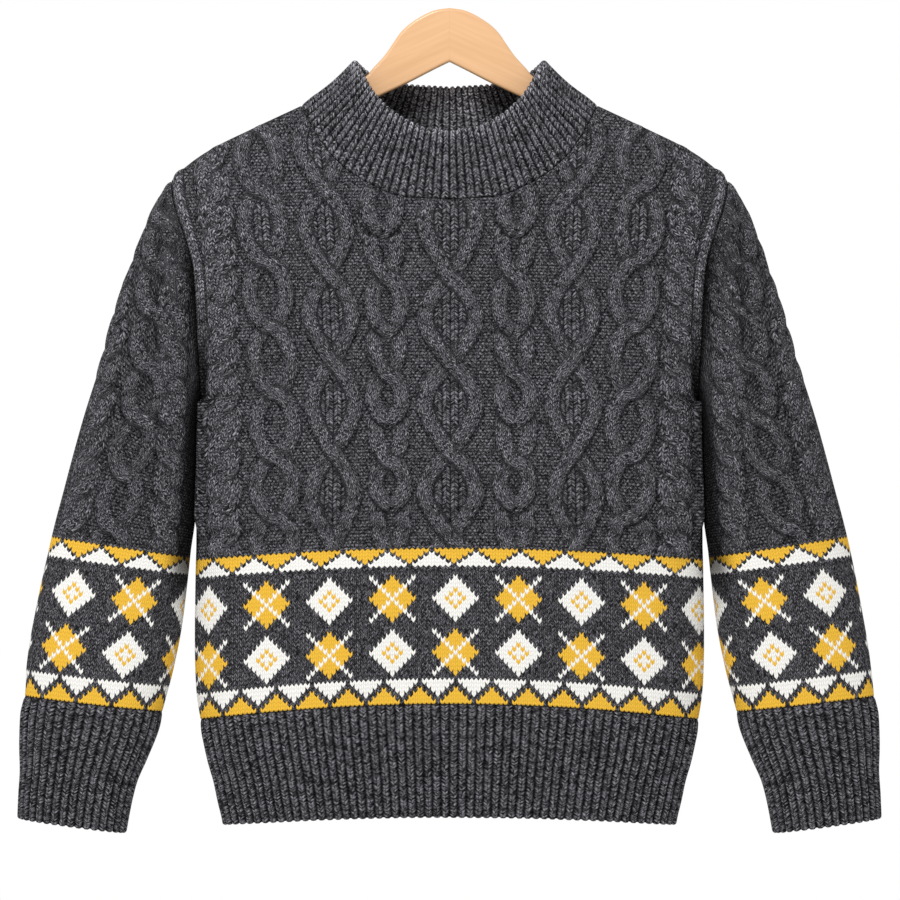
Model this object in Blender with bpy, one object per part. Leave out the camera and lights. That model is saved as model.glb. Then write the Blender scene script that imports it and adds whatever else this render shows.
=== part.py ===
"""Cable knit sweater hanging on a plain wooden hanger board.

Lengths in the tables are millimetres.  +X is the wearer's left as seen on the right hand
side of the front view, the front faces -Y, +Z is up, and the origin is the top of the
hanger's crest.  Every cloth piece is a thin wall: a plain inside, and an outside whose
lines of vertices run along the raised cable strands and ribs.
"""
import math

import bpy
import numpy as np

MM = 0.001
WALL = 3.0            # cloth between the cables
CABLE_RISE = 4.2      # cable strands above that cloth
WALE_RISE = 2.0       # the single wale beside the armhole and side seam
RIB_RISE = 1.5        # ribs of the neckband, hem bands and cuffs
HALF_SEAM = 0.18      # each piece stops this far short of its seam line
UNDERARM_Z = -356.0
NECK_POINT_X = 134.6
SHOULDER_TIP = (252.0, -157.0)
SHOULDER_ROUND = 160.0   # height over which the chest swells from the shoulder ridge
STRAND = 5.6             # half width of a cable strand
RING_START = 0.45        # the sleeve starts this far outside the armhole edge


def smooth_table(*points):
    """Monotone cubic through (key, value) points with rising keys."""
    xs = np.array([p[0] for p in points], float)
    ys = np.array([p[1] for p in points], float)
    step = np.diff(xs)
    slope = np.diff(ys) / step
    tangent = np.zeros_like(xs)
    tangent[0], tangent[-1] = slope[0], slope[-1]
    for i in range(1, len(xs) - 1):
        if slope[i - 1] * slope[i] > 0:
            w1 = 2 * step[i] + step[i - 1]
            w2 = step[i] + 2 * step[i - 1]
            tangent[i] = (w1 + w2) / (w1 / slope[i - 1] + w2 / slope[i])

    def value(x):
        x = np.clip(np.asarray(x, float), xs[0], xs[-1])
        i = np.clip(np.searchsorted(xs, x, side="right") - 1, 0, len(xs) - 2)
        t = (x - xs[i]) / step[i]
        return (ys[i] * (1 + 2 * t) * (1 - t) ** 2 + ys[i + 1] * t * t * (3 - 2 * t)
                + step[i] * t * (1 - t) * (tangent[i] * (1 - t) - tangent[i + 1] * t))
    return value


# ---- the body's form -----------------------------------------------------------------
# (height, half width): the side seam up to the underarm, then the armhole edge
EDGE = smooth_table(
    (-746, 203.0), (-737, 204.2), (-719, 208.4), (-701, 212.2), (-683, 217.4),
    (-665, 221.4), (-645, 225.5), (-629, 228.2), (-611, 230.0), (-575, 230.9),
    (-503, 230.0), (-450, 227.5), (-400, 225.6), (-356, 225.0), (-300, 227.3),
    (-265, 229.0), (-235, 231.5), (-215, 236.5), (-200, 241.5), (-184, 247.0),
    (-170, 250.4), (-157, 252.0))
# (height, how far the rounded side would still run past the armhole edge)
PAST_EDGE = smooth_table((-356, 0.0), (-350, 5.0), (-344, 9.0), (-332, 15.5), (-319, 21.0),
                         (-300, 28.0), (-265, 38.0), (-215, 53.5), (-157, 56.0))
# (height, half depth at the middle of the panel)
DEPTH = {
    "front": smooth_table((-746, 37), (-640, 44), (-500, 50), (-356, 53), (-250, 54),
                          (-175, 52), (-50, 50)),
    "back": smooth_table((-746, 33), (-640, 39), (-500, 44), (-356, 47), (-250, 50),
                         (-126, 49), (-50, 48)),
}
# (distance from the middle, height) of the ridge over the shoulder
RIDGE = smooth_table((0, -26), (60, -53), (100, -72), (134.6, -88.5), (180.5, -110),
                     (217.4, -128.5), (240, -144.5), (252, -157), (270, -178))
NECKLINE = {
    "front": smooth_table((0, -175.5), (42.8, -172.4), (71.5, -161.1), (99.5, -142.0),
                          (120, -116.5), (134.6, -88.5)),
    "back": smooth_table((0, -128), (50, -124.5), (90, -114), (115, -102.5),
                         (134.6, -88.5)),
}
# (height at the middle, how much lower the same knitted row lies at the side seam)
ROW_DROP = smooth_table((-735, 9.9), (-629, 15.3), (-489, 11.0), (-348, 8.0), (-215, 5.0))
HEM_SEAM_Z, HEM_EDGE_Z, JOIN_Z = -629.0, -731.0, -215.0


def body_depth(x, z, side):
    """Distance of the cloth's outside from the middle plane at (x, z)."""
    reach = EDGE(z) + np.where(z > UNDERARM_Z, PAST_EDGE(z), 0.0)
    round_side = np.sqrt(np.clip(1 - (x / reach) ** 3, 0, 1))
    below = np.clip((RIDGE(x) - z) / SHOULDER_ROUND, 0, 1)
    return DEPTH[side](z) * round_side * np.sqrt(1 - (1 - below) ** 2)


def top_edge(x, side):
    return np.where(x < NECK_POINT_X, NECKLINE[side](x), RIDGE(x))


def body_row(level, rise, side, samples=240):
    """One knitted row from the middle to the panel's side edge.

    Rows hang at `level`; with `rise` above 0 they lie between the row at JOIN_Z and the
    panel's top edge.  Returns x, y, z and the distance q along the row.
    """
    def height(x):
        z = level - ROW_DROP(level) * (x / 228.0) ** 2
        return z + rise * (top_edge(x, side) - z) if rise > 0 else z

    end = 228.0
    for _ in range(60):
        end = float(EDGE(height(end)))
    if rise >= 1:
        end = SHOULDER_TIP[0]
    x = end * np.sin(np.linspace(0, math.pi / 2, samples))
    x[np.argmin(np.abs(x - NECK_POINT_X))] = min(NECK_POINT_X, end)
    z = height(x)
    y = body_depth(x, z, side)
    if z[-1] <= UNDERARM_Z + 0.3 or rise >= 1:
        y[-1] = 0.0
    q = np.concatenate([[0], np.cumsum(np.hypot(np.diff(x), np.diff(y)))])
    return x, y, z, q


# ---- cables --------------------------------------------------------------------------
# A pair column is two strands that part and cross; a rope column is one twisted cord.
# Each shape gives the share of the widest parting, f of the way up from one crossing.
def tri(f):
    return 1 - abs(2 * f - 1) ** 1.35


def ring(f):
    return math.sin(math.pi * f) ** 0.8


def cup(f):
    return math.sin(math.pi * (1 - f) ** 0.55)


DIAMONDS, RINGS = (tri,), (ring,)
# name, half width between strand centres, centre line (height, distance), crossings
COLUMNS = (
    dict(kind="rope", half=18.0, turn=1, pitch=37.0,
         line=smooth_table((-460, -200.5), (-330, -203.5), (-211, -208.0), (-140, -217.0))),
    dict(kind="pair", half=18.0, shapes=RINGS,
         line=smooth_table((-450, -157.0), (-369, -157.0), (-313, -159.8), (-259, -163.4),
                           (-198, -168.8), (-120, -173.0)),
         cross=(-505, -461, -407, -349, -290, -231, -166.5, -110)),
    dict(kind="pair", half=20.0, shapes=DIAMONDS,
         line=smooth_table((-447, -105.0), (-362, -104.0), (-277, -106.9), (-198, -111.4),
                           (-110, -117.0)),
         cross=(-486, -403, -321, -241, -165, -90)),
    dict(kind="pair", half=15.8, shapes=(cup, ring),
         line=smooth_table((-434, -52.7), (-358, -55.4), (-272, -56.3), (-183, -60.8)),
         cross=(-495, -450, -411, -373.5, -333, -292.5, -245, -203, -160)),
    dict(kind="pair", half=25.0, shapes=DIAMONDS,
         line=smooth_table((-480, 0.9), (-150, 0.9)),
         cross=(-478.5, -402, -322, -245.7, -150)),
    dict(kind="pair", half=15.8, shapes=(cup, ring),
         line=smooth_table((-434, 59.0), (-358, 60.0), (-272, 57.6), (-183, 60.5)),
         cross=(-495, -450, -411, -373.5, -333, -292.5, -245, -203, -160)),
    dict(kind="pair", half=20.0, shapes=DIAMONDS,
         line=smooth_table((-447, 113.8), (-362, 111.5), (-277, 110.0), (-198, 111.5),
                           (-110, 117.0)),
         cross=(-486, -403, -321, -241, -165, -90)),
    dict(kind="pair", half=18.0, shapes=RINGS,
         line=smooth_table((-428, 163.0), (-369, 162.5), (-315, 164.5), (-259, 165.5),
                           (-198, 171.0), (-120, 172.0)),
         cross=(-505, -461, -407, -349, -290, -231, -166.5, -110)),
    dict(kind="rope", half=18.0, turn=-1, pitch=37.0,
         line=smooth_table((-460, 201.5), (-330, 205.0), (-211, 209.5), (-140, 217.0))),
)
CABLES_END_Z = -484.0       # below this the cloth is plain, with the coloured rows


def parting(column, z):
    """Half distance between the two strands of a pair column at height z."""
    cross = column["cross"]
    for i in range(len(cross) - 1):
        if cross[i] <= z < cross[i + 1]:
            f = (z - cross[i]) / (cross[i + 1] - cross[i])
            return column["half"] * column["shapes"][i % len(column["shapes"])](f)
    return 0.0


def column_lines(column, centre, z, level):
    """Distances and rises of the five vertex lines of a column; level fades it out."""
    if column["kind"] == "rope":
        half = column["half"]
        offsets = np.array([-1.0, -0.5, 0.0, 0.5, 1.0]) * half
        phase = z / column["pitch"] + column["turn"] * offsets / half * 0.5
        rises = CABLE_RISE * (0.62 + 0.38 * np.cos(2 * math.pi * phase))
        rises[[0, -1]] = 0.0
        return centre + offsets, rises * level
    apart = max(parting(column, z), 2.0)
    inside = CABLE_RISE * max(0.0, 1 - (apart - 2.0) / 7.0)
    offsets = np.array([-apart - STRAND, -apart, 0.0, apart, apart + STRAND])
    rises = np.array([0.0, CABLE_RISE, inside, CABLE_RISE, 0.0])
    return centre + offsets, rises * level


def spread(values, least):
    """Keep rising values at least `least` apart, moving the later ones on."""
    out = np.array(values, float)
    for i in range(1, len(out)):
        out[i] = max(out[i], out[i - 1] + least)
    return out


# ---- walls ---------------------------------------------------------------------------
def grid_normals(points, outward, closed=False):
    """Unit normals of a grid of points (rows, lines, 3), turned to agree with outward."""
    if closed:
        across = np.roll(points, -1, axis=1) - np.roll(points, 1, axis=1)
    else:
        across = np.gradient(points, axis=1)
    along = np.gradient(points, axis=0)
    normal = np.cross(across, along)
    normal /= np.maximum(np.linalg.norm(normal, axis=2, keepdims=True), 1e-9)
    flip = np.sign(np.sum(normal * outward, axis=2, keepdims=True))
    return normal * np.where(flip == 0, 1, flip)


def join_rims(faces, first, second, first_at, second_at):
    """Triangles between two lines of vertices that run side by side."""
    i = j = 0
    while i < len(first) - 1 or j < len(second) - 1:
        if i == len(first) - 1:
            take_second = True
        elif j == len(second) - 1:
            take_second = False
        else:
            take_second = first_at[i] >= (second_at[j] + second_at[j + 1]) / 2 - 1e-9
        if take_second:
            faces.append((first[i], second[j + 1], second[j]))
            j += 1
        else:
            faces.append((first[i], first[i + 1], second[j]))
            i += 1


def cloth_object(name, outside, inside, material, across, along=None):
    """A closed wall from an outer and an inner grid of points.

    `across` holds the places along the first and last rows, outside then inside; a tube
    has no `along`, the places up its two sides.
    """
    closed = along is None
    verts = [tuple(p * MM) for p in outside.reshape(-1, 3)]
    verts += [tuple(p * MM) for p in inside.reshape(-1, 3)]
    faces, tables = [], []
    start = 0
    for grid, turned in ((outside, False), (inside, True)):
        rows, lines = grid.shape[:2]
        index = start + np.arange(rows * lines).reshape(rows, lines)
        start += rows * lines
        tables.append(index)
        for r in range(rows - 1):
            for c in range(lines if closed else lines - 1):
                d = (c + 1) % lines
                quad = (index[r, c], index[r, d], index[r + 1, d], index[r + 1, c])
                faces.append(quad[::-1] if turned else quad)
    out, inn = tables
    (out_first, out_last), (in_first, in_last) = across
    rims = [(out[0], inn[0], out_first, in_first), (out[-1], inn[-1], out_last, in_last)]
    if not closed:
        rims += [(out[:, c], inn[:, c], *along) for c in (0, -1)]
    for out_rim, in_rim, out_at, in_at in rims:
        out_rim, in_rim = list(out_rim), list(in_rim)
        if closed:
            out_rim.append(out_rim[0])
            in_rim.append(in_rim[0])
            out_at, in_at = [*out_at, 2.0], [*in_at, 2.0]
        join_rims(faces, out_rim, in_rim, out_at, in_at)
    return add_object(name, verts, faces, material)


def add_object(name, verts, faces, material):
    mesh = bpy.data.meshes.new(name)
    mesh.from_pydata(verts, [], [tuple(int(i) for i in f) for f in faces])
    mesh.validate()
    mesh.polygons.foreach_set("use_smooth", [True] * len(mesh.polygons))
    mesh.materials.append(material)
    obj = bpy.data.objects.new(name, mesh)
    bpy.context.scene.collection.objects.link(obj)
    bpy.context.view_layer.objects.active = obj
    for other in bpy.context.scene.objects:
        other.select_set(other is obj)
    bpy.ops.object.mode_set(mode="EDIT")
    bpy.ops.mesh.select_all(action="SELECT")
    bpy.ops.mesh.normals_make_consistent(inside=False)
    bpy.ops.object.mode_set(mode="OBJECT")
    return obj


def make_material(name, colour, roughness):
    material = bpy.data.materials.new(name)
    material.use_nodes = True
    shader = material.node_tree.nodes["Principled BSDF"]
    shader.inputs["Base Color"].default_value = (*colour, 1.0)
    shader.inputs["Roughness"].default_value = roughness
    return material


# ---- front and back ------------------------------------------------------------------
LEVELS = ([HEM_SEAM_Z, -575.0, -520.0, -495.0]
          + list(np.linspace(-482.0, -348.0, 12)) + list(np.linspace(-336.5, JOIN_Z, 11)))
RISES = [0.17, 0.34, 0.51, 0.68, 0.84, 0.955, 1.0]
UNDERARM_ROW = 15
INSIDE_ROWS = (0, 1, 3, 6, 9, 12, 15, 18, 21, 23, 26, 27, 29, 31, 32, 33)
NECK_STEPS = 12         # vertices along half the neckline
INSIDE_X = (158, 182, 205)


def neck_normal(x, side):
    """Outward direction shared by the panel and the neckband along the neckline."""
    share = np.clip(np.abs(x) / NECK_POINT_X, 0, 1)
    facing = -1.0 if side == "front" else 1.0
    across = np.sqrt(np.clip(1 - share ** 4, 0, 1))
    n = np.array([np.sign(x) * 0.62 * share ** 2, facing * across,
                  0.12 + 0.68 * share ** 3])
    return n / np.linalg.norm(n)


def armhole_depth(z, side):
    """Distance of the armhole edge from the middle plane."""
    z = np.clip(z, UNDERARM_Z, SHOULDER_TIP[1])
    y = body_depth(EDGE(z), z, side)
    return np.where((z >= SHOULDER_TIP[1] - 0.01) | (z <= UNDERARM_Z + 0.3), 0.0, y)


def armhole_normal(z, side):
    """Outward direction shared by the panel and the sleeve: square to the armhole loop."""
    if z > SHOULDER_TIP[1] - 0.3:
        return np.array([0.0, 0.0, 1.0])
    if z < UNDERARM_Z + 0.5:
        return np.array([0.0, 0.0, -1.0])
    facing = -1.0 if side == "front" else 1.0
    upper, lower = min(z + 1.5, SHOULDER_TIP[1]), max(z - 1.5, UNDERARM_Z)
    rise = float(armhole_depth(upper, side) - armhole_depth(lower, side))
    n = np.array([0.0, facing * (upper - lower), -rise])
    return n / np.linalg.norm(n)


def seam_normal(point, side, is_top, is_edge):
    x, z = point[0], point[2]
    if is_edge and abs(z - UNDERARM_Z) < 0.5:
        return np.array([0.7 * np.sign(x), 0.0, -0.714])
    if is_edge and z > UNDERARM_Z:
        return armhole_normal(z, side)
    if is_top and abs(x) <= NECK_POINT_X + 0.5:
        return neck_normal(x, side)
    if is_top:
        slope = float(RIDGE(abs(x) + 1) - RIDGE(abs(x) - 1)) / 2
        n = np.array([-slope * np.sign(x), 0.0, 1.0])
        return n / np.linalg.norm(n)
    return np.array([np.sign(x), 0.0, 0.0])


def row_points(row, qs, facing):
    """Points at signed distances qs from the middle of a body row."""
    x, y, z, q = row
    at = np.abs(qs)
    return np.stack([np.interp(at, q, x) * np.sign(qs), facing * np.interp(at, q, y),
                     np.interp(at, q, z)], axis=1)


def length_along(points):
    return np.concatenate([[0], np.cumsum(np.linalg.norm(np.diff(points, axis=0), axis=1))])


def neck_places(row):
    """Places along a row that divide its part below the neckline evenly."""
    x, y, z, q = row
    part = x <= NECK_POINT_X + 1e-6
    length = length_along(np.stack([x, y, z], axis=1)[part])
    return np.interp(np.linspace(0, 1, NECK_STEPS + 1) * length[-1], length, q[part])


def panel_lines(row, rise):
    """Distances and rises of the vertex lines along one row of the front or back."""
    x, y, z, q = row
    places, lift = [], []
    for column in COLUMNS:
        at_x, at_z = 100.0, float(np.interp(100.0, x, z))
        for _ in range(3):
            at_x = float(column["line"](at_z))
            at_z = float(np.interp(abs(at_x), x, z))
        centre = math.copysign(float(np.interp(abs(at_x), x, q)), at_x)
        level = np.clip((at_z - CABLES_END_Z) / 8.0, 0, 1)
        lines, rises = column_lines(column, centre, at_z, level)
        places += list(lines)
        lift += list(rises)
    places = np.array(places)
    end, half = q[-1], len(places) // 2
    even = neck_places(row)
    even = np.concatenate([-even[:0:-1], even])
    neck = slice(half - NECK_STEPS, half + NECK_STEPS + 1)
    places[neck] += (even - places[neck]) * rise ** 4
    right = np.minimum(spread(places[half:], 1.4), end - 11.0 - 0.8 * np.arange(half, -1, -1))
    left = np.minimum(spread(-places[half::-1], 1.4), end - 11.0 - 0.8 * np.arange(half, -1, -1))
    places = np.concatenate([-left[:0:-1], right])
    sides = []
    for outermost in (-places[0], places[-1]):
        wale = end - 5.0
        sides.append(np.array([(outermost + wale) / 2, wale, end]))
    places = np.concatenate([-sides[0][::-1], places, sides[1]])
    lift = np.concatenate([[0, WALE_RISE, 0], lift, [0, WALE_RISE, 0]])
    return places, lift * min(1.0, 0.15 + (1 - rise) * 5)


def panel(name, side, material):
    """Front or back; returns its edges for the pieces that meet them."""
    facing = -1.0 if side == "front" else 1.0
    rises = [0.0] * len(LEVELS) + RISES
    rows = [body_row(level, 0.0, side) for level in LEVELS]
    rows += [body_row(JOIN_Z, rise, side) for rise in RISES]
    top_x = np.interp(neck_places(rows[-1]), rows[-1][3], rows[-1][0])
    outer, lifts, inner, outer_q, inner_q = [], [], [], [], []
    for number, (row, rise) in enumerate(zip(rows, rises)):
        x, y, z, q = row
        places, lift = panel_lines(row, rise)
        outer.append(row_points(row, places, facing))
        outer_q.append(places)
        lifts.append(lift)
        if number in INSIDE_ROWS:
            last = float(np.interp(205.0, x, q))
            places = list(np.interp(top_x, x, q)) + list(np.interp(INSIDE_X, x, q))
            places += [last + (q[-1] - last) * f for f in (0.28, 0.52, 0.76, 1.0)]
            places = np.array([-v for v in places[:0:-1]] + places)
            inner.append(row_points(row, places, facing))
            inner_q.append(places)
    outer, inner, lifts = np.array(outer), np.array(inner), np.array(lifts)
    walls = []
    for grid in (outer, inner):
        normals = grid_normals(grid, np.array([0.0, facing, 0.0]))
        last_row, last_line = len(grid) - 1, grid.shape[1] - 1
        for r in range(len(grid)):
            for c in range(last_line + 1):
                is_edge = c in (0, last_line)
                if r == last_row or is_edge:
                    normals[r, c] = seam_normal(grid[r, c], side, r == last_row, is_edge)
        normals[0, :, 2] = 0.0
        normals[0] /= np.linalg.norm(normals[0], axis=1, keepdims=True)
        if grid is outer:
            moved = grid + normals * lifts[:, :, None]
        else:
            moved = grid - normals * WALL
        moved[:, :, 1] += facing * HALF_SEAM
        walls.append(moved)
    cloth_object(name, walls[0], walls[1], material,
                 ((outer_q[0], outer_q[-1]), (inner_q[0], inner_q[-1])),
                 (np.arange(len(rows)), np.array(INSIDE_ROWS)))
    armhole = slice(UNDERARM_ROW, None)
    return {"neck_out": outer[-1], "neck_in": inner[-1],
            "arm_out": outer[armhole, -1][::-1],
            "arm_in": inner[INSIDE_ROWS.index(UNDERARM_ROW):, -1][::-1]}


# ---- sleeves and cuffs ---------------------------------------------------------------
# outer fold (x, z), inner fold (x, z), half depth, from the armhole down
SLEEVE = (
    (252.0, -157.0, 225.0, -356.0, 34.0),
    (262.0, -176.0, 226.2, -360.0, 36.0),
    (271.0, -196.0, 226.8, -364.0, 38.0),
    (279.0, -218.0, 227.3, -368.0, 40.0),
    (287.0, -240.0, 227.8, -372.0, 41.0),
    (295.0, -262.0, 228.2, -377.0, 42.0),
    (303.5, -286.0, 228.6, -383.0, 42.0),
    (312.0, -312.0, 229.0, -391.0, 42.0),
    (321.5, -340.0, 229.4, -402.0, 41.0),
    (331.0, -370.0, 229.8, -419.0, 40.0),
    (340.0, -402.0, 230.3, -441.0, 39.0),
    (349.0, -436.0, 231.4, -466.0, 37.5),
    (358.5, -472.0, 234.0, -492.0, 36.0),
    (366.5, -508.0, 237.5, -524.5, 35.0),
    (373.5, -545.0, 242.2, -561.0, 34.5),
    (380.0, -583.0, 249.5, -598.0, 34.0),
    (384.5, -623.0, 259.8, -637.0, 33.0),
)
CUFF = (
    (384.5, -623.0, 259.8, -637.0, 33.0),
    (387.0, -645.0, 266.0, -657.0, 32.0),
    (387.6, -668.0, 275.5, -680.0, 30.5),
    (387.0, -690.0, 285.0, -702.0, 30.0),
    (388.3, -712.0, 290.5, -724.5, 30.0),
    (389.2, -733.5, 294.5, -746.5, 29.5),
)
SECTION_POWER = 2.5
CUFF_RIBS = 15   # ribs round half a cuff
HEAD = 2.5      # sections over which the armhole loop turns into a plain oval
# section: length of half the sleeve's round over which the cables are spread
CABLE_SPREAD = smooth_table((0, 150), (2, 128), (4, 118), (7, 122), (10, 145), (12, 158),
                            (16, 162))
SLEEVE_COLUMNS = (
    dict(kind="rope", half=14.5, turn=-1, pitch=33.0, share=0.20),
    dict(kind="pair", half=15.5, shapes=RINGS, share=0.49,
         cross=(-510, -466, -421, -370, -324, -282, -240, -198, -156)),
    dict(kind="rope", half=14.5, turn=1, pitch=33.0, share=0.79),
)
STATIONS = np.concatenate([np.linspace(0, 12.2, 22), [12.55, 14.3, 16.0]])
INSIDE_STATIONS = STATIONS[[0, 1, 3, 5, 7, 10, 13, 16, 19, 21, 23, 24]]
INSIDE_SHARES = np.array([0, .06, .13, .22, .33, .45, .60, .76, .89, 1])


def rib_lifts(grid):
    """Every other line of a grid raised as a rib."""
    return np.where(np.arange(grid.shape[1]) % 2 == 1, RIB_RISE, 0.0)[None, :, None]


def tube_tables(sections):
    return [smooth_table(*[(i, s[k]) for i, s in enumerate(sections)]) for k in range(5)]


def head_blend(t):
    return (1 - t / HEAD) ** 2 * (1 + 2 * t / HEAD) if t < HEAD else 0.0


def tube_half(tables, t, side, loop=False, samples=160):
    """Half a section from the outer fold round the front or back to the inner fold."""
    facing = -1.0 if side == "front" else 1.0
    ox, oz, ix, iz, deep = [float(table(t)) for table in tables]
    angle = np.linspace(0, math.pi, samples)
    share = (np.cos(angle) + 1) / 2
    depth = deep * np.sqrt(np.clip(1 - np.abs(np.cos(angle)) ** SECTION_POWER, 0, 1))
    points = np.stack([ix + (ox - ix) * share, facing * depth, iz + (oz - iz) * share], axis=1)
    if loop and t < HEAD:
        z = UNDERARM_Z + (SHOULDER_TIP[1] - UNDERARM_Z) * share
        edge = np.stack([EDGE(z), facing * armhole_depth(z, side), z], axis=1)
        points = points + (edge - points) * head_blend(t)
    q = np.concatenate([[0], np.cumsum(np.linalg.norm(np.diff(points, axis=0), axis=1))])
    return points, q


def ring_points(halves, shares):
    """Points at shares of the way down the front half, then back up the back half."""
    out = []
    for (points, q), at in zip(halves, (shares, shares[::-1][1:-1])):
        out.append(np.stack([np.interp(at * q[-1], q, points[:, k]) for k in range(3)], axis=1))
    return np.concatenate(out)


def ring_places(shares):
    return np.concatenate([shares, 2 - shares[::-1][1:-1]])


def tube_normals(grid, tables, where):
    """Normals of a tube, lying in the plane of the section at its two ends."""
    normals = grid_normals(grid, np.zeros(3), closed=True)
    middle = grid.mean(axis=1, keepdims=True)
    flip = np.sign(np.sum(normals * (grid - middle), axis=2, keepdims=True))
    normals *= np.where(flip == 0, 1, flip)
    for r in (0, -1):
        ox, oz, ix, iz, deep = [float(table(where[r])) for table in tables]
        axis = np.array([oz - iz, 0.0, ix - ox])
        axis /= np.linalg.norm(axis)
        normals[r] -= np.outer(normals[r] @ axis, axis)
        normals[r] /= np.linalg.norm(normals[r], axis=1, keepdims=True)
    return normals


def sleeve_lines(points, q, t):
    """Shares and rises of the vertex lines down one half of a sleeve section."""
    total = q[-1]
    length = min(total, float(CABLE_SPREAD(t)))
    places, lift = [0.0], [0.0]
    for column in SLEEVE_COLUMNS:
        centre = column["share"] * length
        z = float(np.interp(centre, q, points[:, 2]))
        level = np.clip((12.2 - t) / 0.5, 0, 1) * min(1.0, 1.3 * t)
        lines, rises = column_lines(column, centre, z, level)
        places += list(lines)
        lift += list(rises)
    places = spread(places, 1.4)
    places = np.minimum(places, total - 7.0 - 0.8 * np.arange(len(places))[::-1])
    rest = total - places[-1]
    places = np.concatenate([places, [places[-1] + rest / 3, total - rest / 3, total]])
    return places / total, np.array(lift + [0.0, 0.0, 0.0])


def sleeve(name, sign, material, front, back):
    tables = tube_tables(SLEEVE)
    grids, places = [], []
    for stage, where, key in (("outside", STATIONS, "arm_out"),
                              ("inside", INSIDE_STATIONS, "arm_in")):
        rows, lifts, ends = [], [], []
        points, q = tube_half(tables, 0.0, "front", True)
        first = np.interp(-front[key][:, 2], -points[:, 2], q / q[-1])
        first[[0, -1]] = 0.0, 1.0
        for t in where:
            halves = [tube_half(tables, t, "front", True), tube_half(tables, t, "back", True)]
            if stage == "outside":
                shares, lift = sleeve_lines(*halves[0], t)
                lifts.append(np.concatenate([lift, lift[::-1][1:-1]]))
            else:
                shares = INSIDE_SHARES
            shares = shares + (first - shares) * np.clip((3.5 - t) / 2.3, 0, 1)
            if t == 0:
                rows.append(np.concatenate([front[key], back[key][::-1][1:-1]]))
            else:
                rows.append(ring_points(halves, shares))
            ends.append(ring_places(shares))
        grid = np.array(rows)
        normals = tube_normals(grid, tables, where)
        half = (grid.shape[1] + 2) // 2
        loop_normals = np.array([armhole_normal(z, "front" if c < half else "back")
                                 for c, z in enumerate(grid[0, :, 2])])
        loop_normals[half - 1] = (-0.7, 0.0, -0.714)
        for r, t in enumerate(where):
            blend = head_blend(t)
            normals[r] = normals[r] * (1 - blend) + loop_normals * blend
            normals[r] /= np.linalg.norm(normals[r], axis=1, keepdims=True)
        if stage == "outside":
            grid = grid + normals * np.array(lifts)[:, :, None]
        else:
            grid = grid - normals * WALL
        grid[:, :, 0] = sign * (grid[:, :, 0] + RING_START)
        grids.append(grid)
        places.append((ends[0], ends[-1]))
    cloth_object(name, grids[0], grids[1], material, places)


def cuff(name, sign, material):
    tables = tube_tables(CUFF)
    grids, places = [], []
    where = (0.0, 5.0)
    for stage in ("outside", "inside"):
        shares = np.linspace(0, 1, (2 * CUFF_RIBS if stage == "outside" else CUFF_RIBS) + 1)
        grid = np.array([ring_points([tube_half(tables, t, "front"),
                                      tube_half(tables, t, "back")], shares) for t in where])
        normals = tube_normals(grid, tables, where)
        if stage == "outside":
            grid = grid + normals * rib_lifts(grid)
        else:
            grid = grid - normals * WALL
        grid[:, :, 0] = sign * (grid[:, :, 0] + RING_START)
        grid[0, :, 2] -= 2 * HALF_SEAM
        grids.append(grid)
        places.append((ring_places(shares), ring_places(shares)))
    cloth_object(name, grids[0], grids[1], material, places)


# ---- hem bands -----------------------------------------------------------------------
HEM_RIBS = 50


def hem_band(name, side, material):
    facing = -1.0 if side == "front" else 1.0
    grids, places = [], []
    for stage in ("outside", "inside"):
        shares = np.linspace(-1, 1, (2 * HEM_RIBS if stage == "outside" else HEM_RIBS) + 1)
        rows = [body_row(level, 0.0, side) for level in (HEM_SEAM_Z, HEM_EDGE_Z)]
        grid = np.array([row_points(row, shares * row[3][-1], facing) for row in rows])
        normals = grid_normals(grid, np.array([0.0, facing, 0.0]))
        normals[:, :, 2] = 0.0
        normals /= np.linalg.norm(normals, axis=2, keepdims=True)
        for c in (0, -1):
            normals[:, c] = np.array([np.sign(grid[0, c, 0]), 0.0, 0.0])
        if stage == "outside":
            grid = grid + normals * rib_lifts(grid)
        else:
            grid = grid - normals * WALL
        grid[:, :, 1] += facing * HALF_SEAM
        grid[0, :, 2] -= 2 * HALF_SEAM
        grids.append(grid)
        places.append((shares, shares))
    cloth_object(name, grids[0], grids[1], material, places, (np.arange(2), np.arange(2)))


# ---- neckband ------------------------------------------------------------------------
RIM_HALF_WIDTH = 85.0
RIM = {
    "front": smooth_table((0, -112.5), (22, -108.3), (44.6, -97.6), (65.7, -81), (77.9, -65.5),
                          (85, -52)),
    "back": smooth_table((0, -70.2), (50, -66.5), (75, -58), (85, -52)),
}
RIM_DEPTH = {"front": 46.0, "back": 42.0}
NECK_WALL = 3.6
NECK_SEAM = 0.5
NECK_RIBS = {"front": 42, "back": 34}


def rim_points(side, shares):
    """Points of the neckband's upper edge, from the -X side to the +X side."""
    x = RIM_HALF_WIDTH * np.sin(np.linspace(-math.pi / 2, math.pi / 2, 301))
    facing = -1.0 if side == "front" else 1.0
    deep = RIM_DEPTH[side] * np.sqrt(np.clip(1 - (np.abs(x) / RIM_HALF_WIDTH) ** 2.3, 0, 1))
    points = np.stack([x, facing * deep, RIM[side](np.abs(x))], axis=1)
    q = length_along(points)
    return np.stack([np.interp(shares * q[-1], q, points[:, k]) for k in range(3)], axis=1)


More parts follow.
